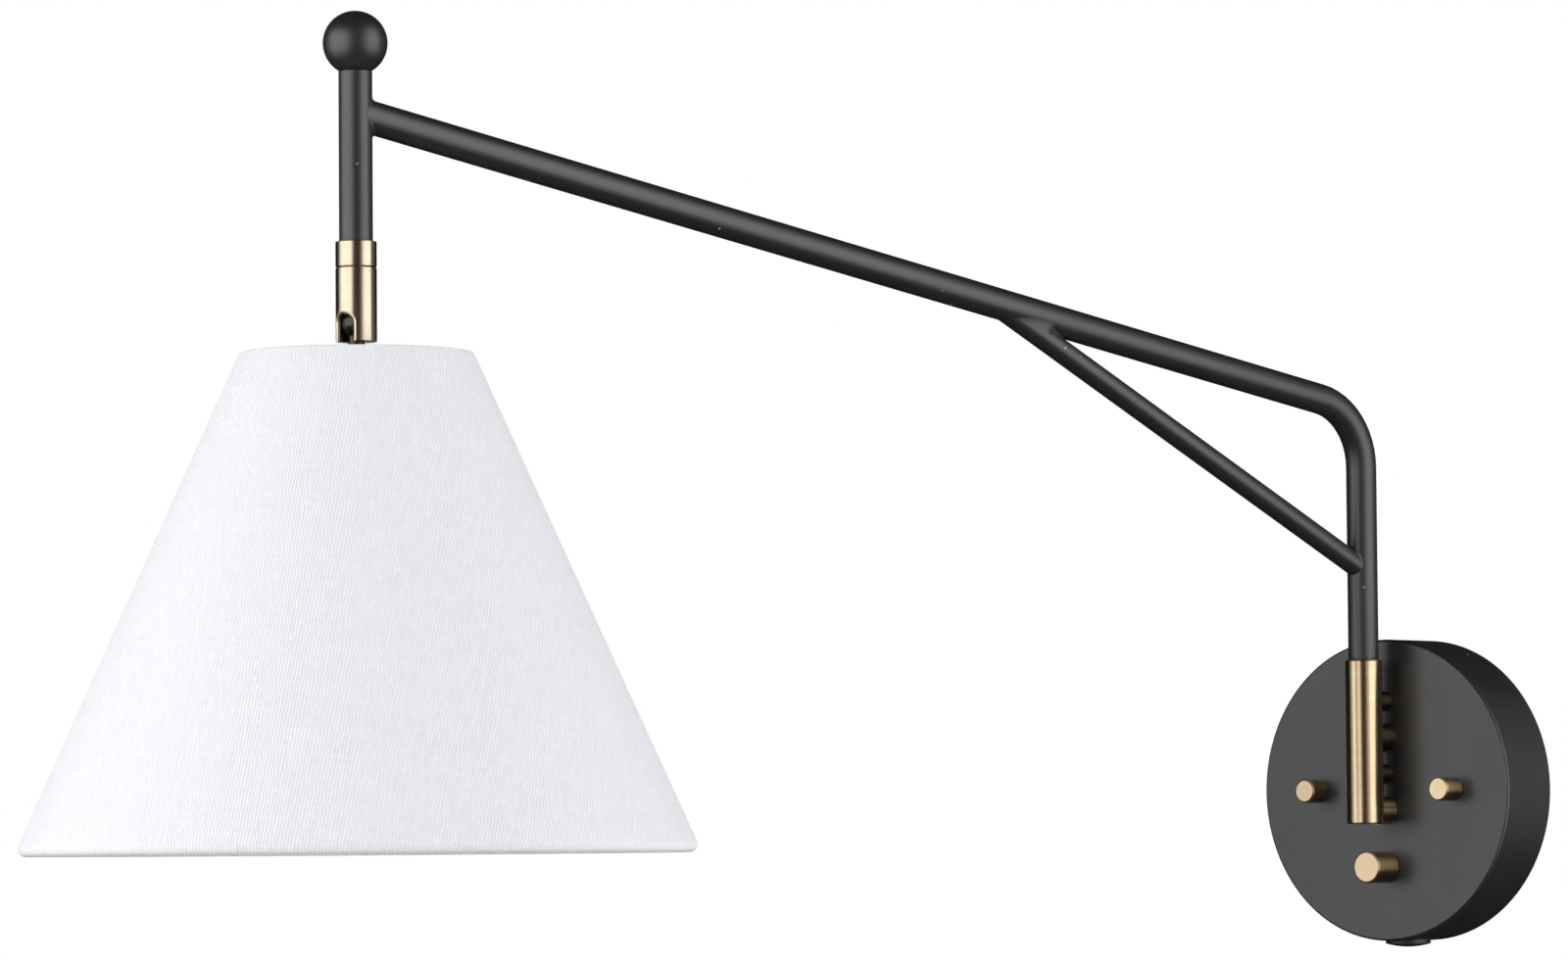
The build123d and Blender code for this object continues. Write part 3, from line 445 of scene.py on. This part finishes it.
def weld(name, branch_start, branch_way, branch_radius, host_point, host_way, ball, flush_at=None):
    """A ground weld: the hollow that a ball leaves as it rolls round the corner between a branch tube and
    its host tube. A weld that is ground flush grows the ball on both sides. It fills the closed corner as
    far as flush_at, a run along the branch, and falls back 10 mm from there to the sides."""
    side = branch_way.cross(host_way).normalized()
    closed = branch_way.cross(side).normalized()
    rows = 144
    across = 9
    sink = 0.00004
    fall_back = 0.010

    def flat(vector):
        """The part of a vector that is square to the host tube."""
        return vector - host_way * vector.dot(host_way)

    def ball_at(spoke, run):
        """The radius of the ball that touches both tubes at a run along the branch."""
        off = flat(branch_start + branch_way * run - host_point)
        out = flat(spoke)
        a = out.dot(out) - 1
        b = 2 * off.dot(out) + 2 * out.dot(out) * branch_radius - 2 * tube_radius
        c = off.dot(off) + 2 * off.dot(out) * branch_radius
        c += out.dot(out) * branch_radius**2 - tube_radius**2
        return 2 * c / (math.sqrt(b * b - 4 * a * c) - b)

    points = []
    for row in range(rows):
        turn = 2 * math.pi * row / rows
        spoke = math.cos(turn) * closed + math.sin(turn) * side
        size = ball
        if flush_at and spoke.dot(closed) > -0.001:
            size = ball_at(spoke, flush_at + fall_back * math.sin(turn) ** 2)
        elif flush_at:
            size = ball + (ball_at(side, flush_at + fall_back) - ball) * math.sin(turn) ** 4
        start = branch_start + spoke * (branch_radius + size)
        off = flat(start - host_point)
        way = flat(branch_way)
        b = off.dot(way)
        depth = b * b - way.dot(way) * (off.dot(off) - (tube_radius + size) ** 2)
        centre = start - branch_way * (b + math.sqrt(max(depth, 0))) / way.dot(way)
        host_out = flat(centre - host_point).normalized()
        for step in range(across):
            points.append(centre - host_out.slerp(spoke, step / (across - 1)) * (size + sink))
    faces = []
    for row in range(rows):
        after = (row + 1) % rows
        for step in range(across - 1):
            here = row * across + step
            there = after * across + step
            faces.append((here, here + 1, there + 1, there))
    mesh = bpy.data.meshes.new(name)
    mesh.from_pydata([tuple(p) for p in points], [], faces)
    bead = bpy.data.objects.new(name, mesh)
    bpy.context.scene.collection.objects.link(bead)
    bpy.context.view_layer.objects.active = bead
    bead.select_set(True)
    bpy.ops.object.mode_set(mode="EDIT")
    bpy.ops.mesh.select_all(action="SELECT")
    bpy.ops.mesh.normals_make_consistent(inside=False)
    bpy.ops.object.mode_set(mode="OBJECT")
    bpy.ops.object.shade_smooth()
    bead.select_set(False)
    mesh.materials.append(powder_coat)
    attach(bead, "arm")


brace_way = (brace_high - brace_low).normalized()
drop_run = 0.03
upper_run = 0.09
lower_run = 0.06
drop_start = arm_end - arm_way * drop_run
upper_start = brace_high - brace_way * upper_run
lower_start = brace_low + brace_way * lower_run
weld("drop_weld", drop_start, arm_way, tube_radius, drop_foot, upright, ball=0.0028)
weld(
    "brace_upper_weld",
    upper_start,
    brace_way,
    brace_radius,
    arm_corner,
    arm_way,
    ball=0.001,
    flush_at=0.0514,
)
weld("brace_lower_weld", lower_start, -brace_way, brace_radius, pivot_foot, upright, ball=0.0011)


# Swivel: a brass collar on the drop tube and a sleeve that turns under it on a hollow nipple.
# The sleeve is bored for a dark plated ball, whose near-black colour also paints the shade inside the slot,
# and its slot lets the neck tilt.
# The swivel gets a paler, greyer copy of the brass, because it sits in stronger light: painted highlight.
swivel_brass = turned_brass(
    "antique_brass_swivel_painted_highlight", "Z", middle("swivel_sleeve"), "#b5a68c", "#9e8e72"
)
dress(swivel_brass, "swivel_collar", "swivel_sleeve", "drop_insert")
dress(zinc, "swivel_nipple", "swivel_washer", "neck_nuts")
# Near-black plating for the ball, darkened further as painted shade inside the slot.
dress(plated_steel("dark_plated_steel_and_slot_shade", "#34302c", "#28241f", 0.24), "swivel_ball")


# Lampholder: a spun cap, coated as the arm is, over a moulded body. The body's skirt is threaded for
# a ribbed ring nut, and inside sit a screw shell rolled from brass strip and a stamped contact.
dress(powder_coat, "socket_cap")
contact_brass = turned_brass("bright_brass_drawn", "Z", middle("screw_shell"))
dress(contact_brass, "screw_shell", "centre_contact")


def screw_thread(name, profile, pitch, turns, low_end, finish):
    """A screw thread: one pitch of its section, as pairs of radius and height, wound round the axis of
    the drop tube."""
    steps_in_turn = 64
    mesh = bpy.data.meshes.new(name)
    mesh.from_pydata([(r, 0, z) for r, z in profile], [(k, k + 1) for k in range(len(profile) - 1)], [])
    piece = bpy.data.objects.new(name, mesh)
    bpy.context.scene.collection.objects.link(piece)
    piece.location = (drop_foot.x, drop_foot.y, low_end)
    bpy.context.view_layer.objects.active = piece
    piece.select_set(True)
    wind = piece.modifiers.new("wind", "SCREW")
    wind.screw_offset = pitch
    wind.iterations = turns
    wind.steps = steps_in_turn
    wind.render_steps = steps_in_turn
    wind.use_merge_vertices = True
    wind.merge_threshold = 0.00001
    bpy.ops.object.modifier_apply(modifier="wind")
    bpy.ops.object.transform_apply(location=True, rotation=False, scale=False)
    bpy.ops.object.shade_smooth_by_angle(angle=math.radians(40))
    piece.select_set(False)
    mesh.materials.append(finish)
    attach(piece, "shade")


skirt_radius = 0.01975
skirt_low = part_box("lampholder")[0].z
skirt_pitch = 0.0025
skirt_rise = 0.0006
skirt_turns = 9
skirt_lead_in = 0.0008
screw_thread(
    "lampholder_thread",
    [
        (skirt_radius, 0),
        (skirt_radius + skirt_rise, 0.25 * skirt_pitch),
        (skirt_radius + skirt_rise, 0.5 * skirt_pitch),
        (skirt_radius, 0.75 * skirt_pitch),
        (skirt_radius, skirt_pitch),
    ],
    skirt_pitch,
    skirt_turns,
    skirt_low + skirt_lead_in,
    moulding,
)

shell_radius = 0.0133
shell_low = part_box("screw_shell")[0].z
shell_pitch = 0.00363
shell_rise = 0.0008
shell_turns = 6
shell_lead_in = 0.0002
wave_steps = 10
screw_thread(
    "screw_shell_thread",
    [
        (
            shell_radius - shell_rise * (1 - math.cos(2 * math.pi * k / wave_steps)) / 2,
            shell_pitch * k / wave_steps,
        )
        for k in range(wave_steps, -1, -1)
    ],
    shell_pitch,
    shell_turns,
    shell_low + shell_lead_in,
    contact_brass,
)

rib_count = 30
rib_radius = 0.0011
rib_length = 0.0068
rib_round = 0.0004
nut_low, nut_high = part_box("shade_ring_nut")
nut_middle = (nut_low + nut_high) / 2
rib_place = nut_middle + Vector(((nut_high.x - nut_low.x) / 2, 0, 0))
bpy.ops.mesh.primitive_cylinder_add(vertices=14, radius=rib_radius, depth=rib_length, location=rib_place)
ribs = bpy.context.object
ribs.name = "ring_nut_ribs"
bpy.ops.object.transform_apply(location=True, rotation=False, scale=False)
bpy.ops.object.mode_set(mode="EDIT")
bpy.ops.mesh.select_all(action="SELECT")
bpy.ops.mesh.bevel(offset=rib_round, segments=3, affect="EDGES")
bpy.ops.mesh.select_all(action="SELECT")
bpy.ops.mesh.spin(
    steps=rib_count - 1,
    dupli=True,
    angle=2 * math.pi * (rib_count - 1) / rib_count,
    center=nut_middle,
    axis=(0, 0, 1),
)
bpy.ops.object.mode_set(mode="OBJECT")
bpy.ops.object.shade_smooth_by_angle(angle=math.radians(40))
ribs.select_set(False)
ribs.data.materials.append(moulding)
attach(ribs, "shade")


# Shade frame: fitter, spokes and rings of steel wire, spot welded and dipped in white enamel,
# and a stiff cone of white styrene sheet that the cloth is laminated to.
enamel, tree, shader = new_finish("white_enamel_dipped")
run_size = 0.004
place = add_node(tree, "ShaderNodeTexCoord").outputs["Object"]
runs = add_node(tree, "ShaderNodeTexNoise", {"Vector": place, "Scale": 1 / run_size, "Detail": 2.0})
tint = add_node(
    tree,
    "ShaderNodeMix",
    {"Factor": runs.outputs["Fac"], "A": linear("#e2e2df"), "B": linear("#eeeeec")},
    data_type="RGBA",
)
relief = add_node(
    tree,
    "ShaderNodeBump",
    {"Height": runs.outputs["Fac"], "Strength": 0.3, "Distance": 0.00015},
)
tree.links.new(tint.outputs["Result"], shader.inputs["Base Color"])
tree.links.new(relief.outputs["Normal"], shader.inputs["Normal"])
shader.inputs["Roughness"].default_value = 0.32
dress(enamel, "shade_spider", "shade_bottom_ring")

styrene, tree, shader = new_finish("white_styrene_sheet_calendered")
sheet_grain_size = 0.002
place = add_node(tree, "ShaderNodeTexCoord").outputs["Object"]
fibre = add_node(
    tree,
    "ShaderNodeTexNoise",
    {"Vector": place, "Scale": 1 / sheet_grain_size, "Detail": 4.0, "Roughness": 0.6},
)
tint = add_node(
    tree,
    "ShaderNodeMix",
    {"Factor": fibre.outputs["Fac"], "A": linear("#ebebeb"), "B": linear("#f4f4f3")},
    data_type="RGBA",
)
gloss = add_node(
    tree,
    "ShaderNodeMapRange",
    {"Value": fibre.outputs["Fac"], "To Min": 0.3, "To Max": 0.42},
)
relief = add_node(
    tree,
    "ShaderNodeBump",
    {"Height": fibre.outputs["Fac"], "Strength": 0.2, "Distance": 0.00005},
)
tree.links.new(tint.outputs["Result"], shader.inputs["Base Color"])
tree.links.new(gloss.outputs[0], shader.inputs["Roughness"])
tree.links.new(relief.outputs["Normal"], shader.inputs["Normal"])
dress(styrene, "shade_liner")


# Shade cover: one sheet of plain woven white cotton, cut as a sector of a ring, glued to the cone,
# lapped 10 mm at the back, turned in over the top ring and rolled round the bottom ring.
cloth_top = 0.163265
cloth_height = 0.1882
cloth_bottom = cloth_top - cloth_height
top_radius = 0.0439
bottom_radius = 0.1284
cloth_thickness = 0.0005
lap = 0.010
lap_ramp = 0.003
lap_lift = 0.00055
flare = math.atan2(bottom_radius - top_radius, cloth_height)
top_edge = 0.0012
top_turn_in = 0.0046
hem = 0.003
hem_turn_in = 0.009


def rounded(corner, before, after, radius, steps):
    """Points of an arc that rounds a corner between two straight runs, in the section's plane."""
    d1 = (before - corner).normalized()
    d2 = (after - corner).normalized()
    half = d1.angle(d2) / 2
    centre = corner + (d1 + d2).normalized() * radius / math.sin(half)
    first = corner + d1 * radius / math.tan(half) - centre
    last = corner + d2 * radius / math.tan(half) - centre
    sweep = first.angle(last)
    return [
        centre
        + (first * math.sin(sweep * (1 - k / steps)) + last * math.sin(sweep * k / steps)) / math.sin(sweep)
        for k in range(steps + 1)
    ]


lip_end = Vector((top_radius - top_turn_in, cloth_top - 0.0001))
top_corner = Vector((top_radius, cloth_top))
low_corner = Vector((bottom_radius, cloth_bottom))
roll_end = Vector((bottom_radius - hem_turn_in, cloth_bottom + 0.0004))
cone_rows = 44
section = [lip_end, lip_end.lerp(top_corner, 0.3), *rounded(top_corner, lip_end, low_corner, top_edge, 5)]
hem_arc = rounded(low_corner, top_corner, roll_end, hem, 12)
cone_start = section[-1]
section += [cone_start.lerp(hem_arc[0], k / cone_rows) for k in range(1, cone_rows)]
section += hem_arc
section += [hem_arc[-1].lerp(roll_end, k / 3) for k in range(1, 4)]

seam_turn = math.radians(109.2)
columns = 300
lengths = [0.0]
for here, there in zip(section, section[1:]):
    lengths.append(lengths[-1] + (there - here).length)
cone_at = lengths[section.index(cone_start)]
apex_run = cone_start.x / math.sin(flare)

cloth_points = []
cloth_flat = []
for column in range(columns + 1):
    share = column / columns
    for place_on, length in zip(section, lengths):
        whole = 2 * math.pi + lap / place_on.x
        turn = share * whole
        ramp = lap_ramp / place_on.x
        over = min(max((turn - (2 * math.pi - ramp)) / ramp, 0), 1)
        reach = place_on.x + lap_lift * over * over * (3 - 2 * over)
        angle = seam_turn + turn
        cloth_points.append(
            (drop_foot.x + reach * math.cos(angle), drop_foot.y + reach * math.sin(angle), place_on.y)
        )
        run = apex_run + length - cone_at
        flat_turn = (turn - math.radians(180)) * math.sin(flare)
        cloth_flat.append((run * math.sin(flat_turn), -run * math.cos(flat_turn)))
count = len(section)
cloth_faces = [
    (c * count + k, c * count + k + 1, (c + 1) * count + k + 1, (c + 1) * count + k)
    for c in range(columns)
    for k in range(count - 1)
]
cloth_mesh = bpy.data.meshes.new("shade_cover")
cloth_mesh.from_pydata(cloth_points, [], cloth_faces)
cloth_map = cloth_mesh.uv_layers.new(name="cut")
for loop in cloth_mesh.loops:
    cloth_map.data[loop.index].uv = cloth_flat[loop.vertex_index]
cover = bpy.data.objects.new("shade_cover", cloth_mesh)
bpy.context.scene.collection.objects.link(cover)
bpy.context.view_layer.objects.active = cover
cover.select_set(True)
thick = cover.modifiers.new("thickness", "SOLIDIFY")
thick.thickness = cloth_thickness
thick.offset = -1.0
bpy.ops.object.modifier_apply(modifier="thickness")
bpy.ops.object.shade_smooth_by_angle(angle=math.radians(50))
cover.select_set(False)

# Plain woven cotton: each warp thread shows as short upright dashes where it passes over the weft,
# staggered from thread to thread, with slubs. Real threads are some 0.5 mm apart; the warp is drawn
# 1.25 mm apart and the weft 1.6 mm, so that the weave shows.
cotton, tree, shader = new_finish("white_cotton_plain_woven")
warp_gap = 0.00125
weft_gap = 0.0016
sway = 0.0007
sway_size = 0.005
slub_width = 0.0012
slub_length = 0.009
pick_length = 0.02
pick_width = 0.0011
cut = add_node(tree, "ShaderNodeUVMap", uv_map="cut").outputs[0]
wander = add_node(tree, "ShaderNodeTexNoise", {"Vector": cut, "Scale": 1 / sway_size, "Detail": 1.0})
laid = add_node(
    tree,
    "ShaderNodeVectorMath",
    {0: wander.outputs["Color"], 1: (sway,) * 3, 2: cut},
    operation="MULTIPLY_ADD",
)
count_way = add_node(
    tree,
    "ShaderNodeMapping",
    {"Vector": laid.outputs[0], "Scale": (1 / warp_gap, 1 / weft_gap, 1)},
)
counted = add_node(tree, "ShaderNodeSeparateXYZ", {0: count_way.outputs[0]})
warp = add_node(tree, "ShaderNodeMath", {0: counted.outputs["X"], 1: 0.5}, operation="PINGPONG")
thread = add_node(tree, "ShaderNodeMath", {0: counted.outputs["X"]}, operation="FLOOR")
stagger = add_node(
    tree,
    "ShaderNodeMath",
    {0: thread.outputs[0], 1: 0.5, 2: counted.outputs["Y"]},
    operation="MULTIPLY_ADD",
)
weft = add_node(tree, "ShaderNodeMath", {0: stagger.outputs[0], 1: 0.5}, operation="PINGPONG")
dashes = add_node(
    tree,
    "ShaderNodeMath",
    {0: weft.outputs[0], 1: warp.outputs[0]},
    operation="MULTIPLY",
)
threads = add_node(
    tree,
    "ShaderNodeMath",
    {0: dashes.outputs[0], 1: 0.6, 2: warp.outputs[0]},
    operation="MULTIPLY_ADD",
)
slub_way = add_node(
    tree,
    "ShaderNodeMapping",
    {"Vector": cut, "Scale": (1 / slub_width, 1 / slub_length, 1)},
)
slub = add_node(
    tree,
    "ShaderNodeTexNoise",
    {"Vector": slub_way.outputs[0], "Scale": 1.0, "Detail": 2.0},
)
swell = add_node(
    tree,
    "ShaderNodeMapRange",
    {"Value": slub.outputs["Fac"], "From Min": 0.25, "From Max": 0.75, "To Min": 0.3, "To Max": 1.5},
)
uneven = add_node(
    tree,
    "ShaderNodeMath",
    {0: threads.outputs[0], 1: swell.outputs[0]},
    operation="MULTIPLY",
)
pick_way = add_node(
    tree,
    "ShaderNodeMapping",
    {"Vector": cut, "Scale": (1 / pick_length, 1 / pick_width, 1)},
)
pick = add_node(
    tree,
    "ShaderNodeTexNoise",
    {"Vector": pick_way.outputs[0], "Scale": 1.0, "Detail": 1.0},
)
height = add_node(
    tree,
    "ShaderNodeMath",
    {0: pick.outputs["Fac"], 1: 0.25, 2: uneven.outputs[0]},
    operation="MULTIPLY_ADD",
)
depth = add_node(
    tree,
    "ShaderNodeMapRange",
    {"Value": height.outputs[0], "From Min": 0.1, "From Max": 0.8},
)
# The low parts between threads are painted greyer, as painted shade in the weave's hollows; the crests are
# near white.
tint = add_node(
    tree,
    "ShaderNodeMix",
    {"Factor": depth.outputs[0], "A": linear("#e2e4e9"), "B": linear("#fcfcfe")},
    data_type="RGBA",
)

# The roll of the hem is whipped with slanting stitches 1.5 mm apart. The gaps between the turns on the
# roll's underside are painted grey, as painted shade under the hem.
hem_run = apex_run + lengths[section.index(hem_arc[-1])] - cone_at
stitch_step = 0.0015
stitch_slant = 0.002
stitch_middle = hem_run - 0.0009
stitch_reach = 0.0016
cut_ways = add_node(tree, "ShaderNodeSeparateXYZ", {0: cut})
inward = add_node(tree, "ShaderNodeMath", {0: cut_ways.outputs["Y"], 1: -1.0}, operation="MULTIPLY")
bearing = add_node(
    tree,
    "ShaderNodeMath",
    {0: cut_ways.outputs["X"], 1: inward.outputs[0]},
    operation="ARCTAN2",
)
from_apex = add_node(tree, "ShaderNodeVectorMath", {0: cut}, operation="LENGTH")
slant = add_node(
    tree, "ShaderNodeMath", {0: from_apex.outputs["Value"], 1: 1 / stitch_slant}, operation="MULTIPLY"
)
stitch = add_node(
    tree,
    "ShaderNodeMath",
    {0: bearing.outputs[0], 1: hem_run / stitch_step, 2: slant.outputs[0]},
    operation="MULTIPLY_ADD",
)
turns = add_node(tree, "ShaderNodeMath", {0: stitch.outputs[0], 1: 0.5}, operation="PINGPONG")
between = add_node(
    tree,
    "ShaderNodeMapRange",
    {"Value": turns.outputs[0], "From Min": 0.1, "From Max": 0.35, "To Max": 0.42},
)
on_roll = add_node(
    tree,
    "ShaderNodeMath",
    {0: from_apex.outputs["Value"], 1: stitch_middle, 2: stitch_reach},
    operation="COMPARE",
)
# The grey between the stitch turns, on the underside of the roll, is painted shade under the hem.
dark = add_node(
    tree,
    "ShaderNodeMath",
    {0: between.outputs[0], 1: on_roll.outputs[0]},
    operation="MULTIPLY",
)
stitches_and_hem_shade = add_node(
    tree,
    "ShaderNodeMix",
    {"Factor": dark.outputs[0], "A": tint.outputs["Result"], "B": linear("#8b8d92")},
    data_type="RGBA",
)
relief = add_node(
    tree,
    "ShaderNodeBump",
    {"Height": height.outputs[0], "Strength": 1.0, "Distance": 0.00036},
)
tree.links.new(stitches_and_hem_shade.outputs["Result"], shader.inputs["Base Color"])
tree.links.new(relief.outputs["Normal"], shader.inputs["Normal"])
shader.inputs["Roughness"].default_value = 0.9
shader.inputs["Specular IOR Level"].default_value = 0.2
shader.inputs["Sheen Weight"].default_value = 0.12
cloth_mesh.materials.append(cotton)
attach(cover, "shade")
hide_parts("shade_fabric")


# Studio: a pale floor far below, a white board under the lamp that lifts its underside, a tall soft
# light to each side, and dark cloths that shape the reflections in brass and black coat.
paper, tree, shader = new_finish("pale_studio_paper")
fibre_size = 0.01
place = add_node(tree, "ShaderNodeTexCoord").outputs["Object"]
fibre = add_node(tree, "ShaderNodeTexNoise", {"Vector": place, "Scale": 1 / fibre_size, "Detail": 3.0})
tint = add_node(
    tree,
    "ShaderNodeMix",
    {"Factor": fibre.outputs["Fac"], "A": linear("#efefef"), "B": linear("#f6f6f6")},
    data_type="RGBA",
)
tree.links.new(tint.outputs["Result"], shader.inputs["Base Color"])
shader.inputs["Roughness"].default_value = 0.9


def plain_sight(tree):
    """1 where a surface is looked at, straight, in a mirror or through glass, and 0 where it only gives
    light."""
    ray = add_node(tree, "ShaderNodeLightPath").outputs
    seen = add_node(
        tree,
        "ShaderNodeMath",
        {0: ray["Is Camera Ray"], 1: ray["Is Glossy Ray"]},
        operation="MAXIMUM",
    )
    shown = add_node(
        tree,
        "ShaderNodeMath",
        {0: seen.outputs[0], 1: ray["Is Transmission Ray"]},
        operation="MAXIMUM",
    )
    return shown.outputs[0]


veil = add_node(tree, "ShaderNodeMath", {0: plain_sight(tree), 1: 0.95}, operation="MULTIPLY")
haze = add_node(tree, "ShaderNodeEmission", {"Color": linear("#ffffff"), "Strength": 1.0})
look = add_node(
    tree,
    "ShaderNodeMixShader",
    {0: veil.outputs[0], 1: shader.outputs[0], 2: haze.outputs[0]},
)
tree.links.new(look.outputs[0], tree.nodes["Material Output"].inputs["Surface"])


def level_sheet(name, reach, height):
    """A square level sheet of studio paper."""
    mesh = bpy.data.meshes.new(name)
    corners = [
        (-reach, -reach, height),
        (reach, -reach, height),
        (reach, reach, height),
        (-reach, reach, height),
    ]
    mesh.from_pydata(corners, [], [(0, 1, 2, 3)])
    sheet = bpy.data.objects.new(name, mesh)
    bpy.context.scene.collection.objects.link(sheet)
    mesh.materials.append(paper)
    return sheet


level_sheet("floor", 40.0, -6.0)
board = level_sheet("bounce_board", 6.0, -0.9)
board.visible_camera = False
board.visible_glossy = False
board.visible_shadow = False


def soft_light(name, place, aim, width, height, watts):
    """A soft light: a diffusing panel that faces the lamp."""
    data = bpy.data.lights.new(name, "AREA")
    data.shape = "RECTANGLE"
    data.size = width
    data.size_y = height
    data.energy = watts
    light = bpy.data.objects.new(name, data)
    bpy.context.scene.collection.objects.link(light)
    light.location = place
    light.rotation_euler = (Vector(aim) - Vector(place)).to_track_quat("-Z", "Y").to_euler()
    light.visible_camera = False


soft_light(
    "left_soft_light",
    (-0.321, -1.404, 0.25),
    aim=(-0.05, -0.45, 0.12),
    width=1.33,
    height=1.35,
    watts=11.4,
)
soft_light(
    "right_soft_light",
    (1.35, 0.0, 0.35),
    aim=(-0.05, -0.60, 0.12),
    width=1.5,
    height=2.4,
    watts=23.5,
)


def flag(name, colour, corners):
    """A dark cloth that only reflections see."""
    finish, _, shader = new_finish(f"{name}_cloth")
    shader.inputs["Base Color"].default_value = linear(colour)
    shader.inputs["Roughness"].default_value = 1.0
    mesh = bpy.data.meshes.new(name)
    mesh.from_pydata(
        corners, [], [tuple(range(k, k + 2)) + (k + 3, k + 2) for k in range(0, len(corners) - 2, 2)]
    )
    cloth = bpy.data.objects.new(name, mesh)
    bpy.context.scene.collection.objects.link(cloth)
    mesh.materials.append(finish)
    cloth.visible_camera = False
    cloth.visible_diffuse = False
    cloth.visible_transmission = False
    cloth.visible_shadow = False


def screen(start, end):
    """The corners of a tall curved screen round the lamp, between two bearings in degrees."""
    centre_x = -0.1
    centre_y = -0.35
    radius = 2.0
    steps = 12
    corners = []
    for step in range(steps + 1):
        turn = math.radians(start + (end - start) * step / steps)
        for height in (-0.9, 2.2):
            corners.append(
                (centre_x + radius * math.cos(turn), centre_y + radius * math.sin(turn), height)
            )
    return corners


def level_frame(height):
    """The corners of a wide level cloth."""
    return [(-2.6, -2.8, height), (-2.6, 2.2, height), (2.6, -2.8, height), (2.6, 2.2, height)]


flag(
    "front_flag",
    "#6b4c2c",
    [(0.64, -1.85, -0.7), (0.64, -1.85, 1.7), (1.06, -0.91, -0.7), (1.06, -0.91, 1.7)],
)
flag("right_screen", "#a8a49e", screen(40, 75))
flag("back_flag", "#1c1c1c", screen(75, 208))
flag("top_flag", "#1c1c1c", level_frame(1.7))
flag("low_flag", "#1c1c1c", level_frame(-0.7))

world = bpy.data.worlds.new("white_studio")
bpy.context.scene.world = world
world.use_nodes = True
tree = world.node_tree
sky = add_node(
    tree,
    "ShaderNodeMix",
    {"Factor": plain_sight(tree), "A": (0.285, 0.285, 0.289, 1), "B": (1, 1, 1, 1)},
    data_type="RGBA",
)
tree.links.new(sky.outputs["Result"], tree.nodes["Background"].inputs["Color"])

# The camera stands to the right of the lamp and a little below its middle, with a long lens.
view_place = Vector((1.732994, -2.362595, -0.031420))
view_turn = math.radians(41.593)
view_pitch = math.radians(3.25)
view_roll = math.radians(-0.45)
ahead = Vector(
    (
        -math.sin(view_turn) * math.cos(view_pitch),
        math.cos(view_turn) * math.cos(view_pitch),
        math.sin(view_pitch),
    )
)
right = Vector((math.cos(view_turn), math.sin(view_turn), 0))
above = right.cross(ahead)
camera_data = bpy.data.cameras.new("camera")
camera_data.lens = 157.5
camera_data.sensor_width = 36.0
camera_data.sensor_fit = "HORIZONTAL"
camera_data.clip_end = 100.0
camera = bpy.data.objects.new("camera", camera_data)
bpy.context.scene.collection.objects.link(camera)
camera_x = right * math.cos(view_roll) + above * math.sin(view_roll)
camera_y = above * math.cos(view_roll) - right * math.sin(view_roll)
camera.matrix_world = Matrix.Translation(view_place) @ Matrix(
    (camera_x, camera_y, -ahead)
).transposed().to_4x4()
bpy.context.scene.camera = camera
bpy.context.scene.view_settings.view_transform = "Standard"
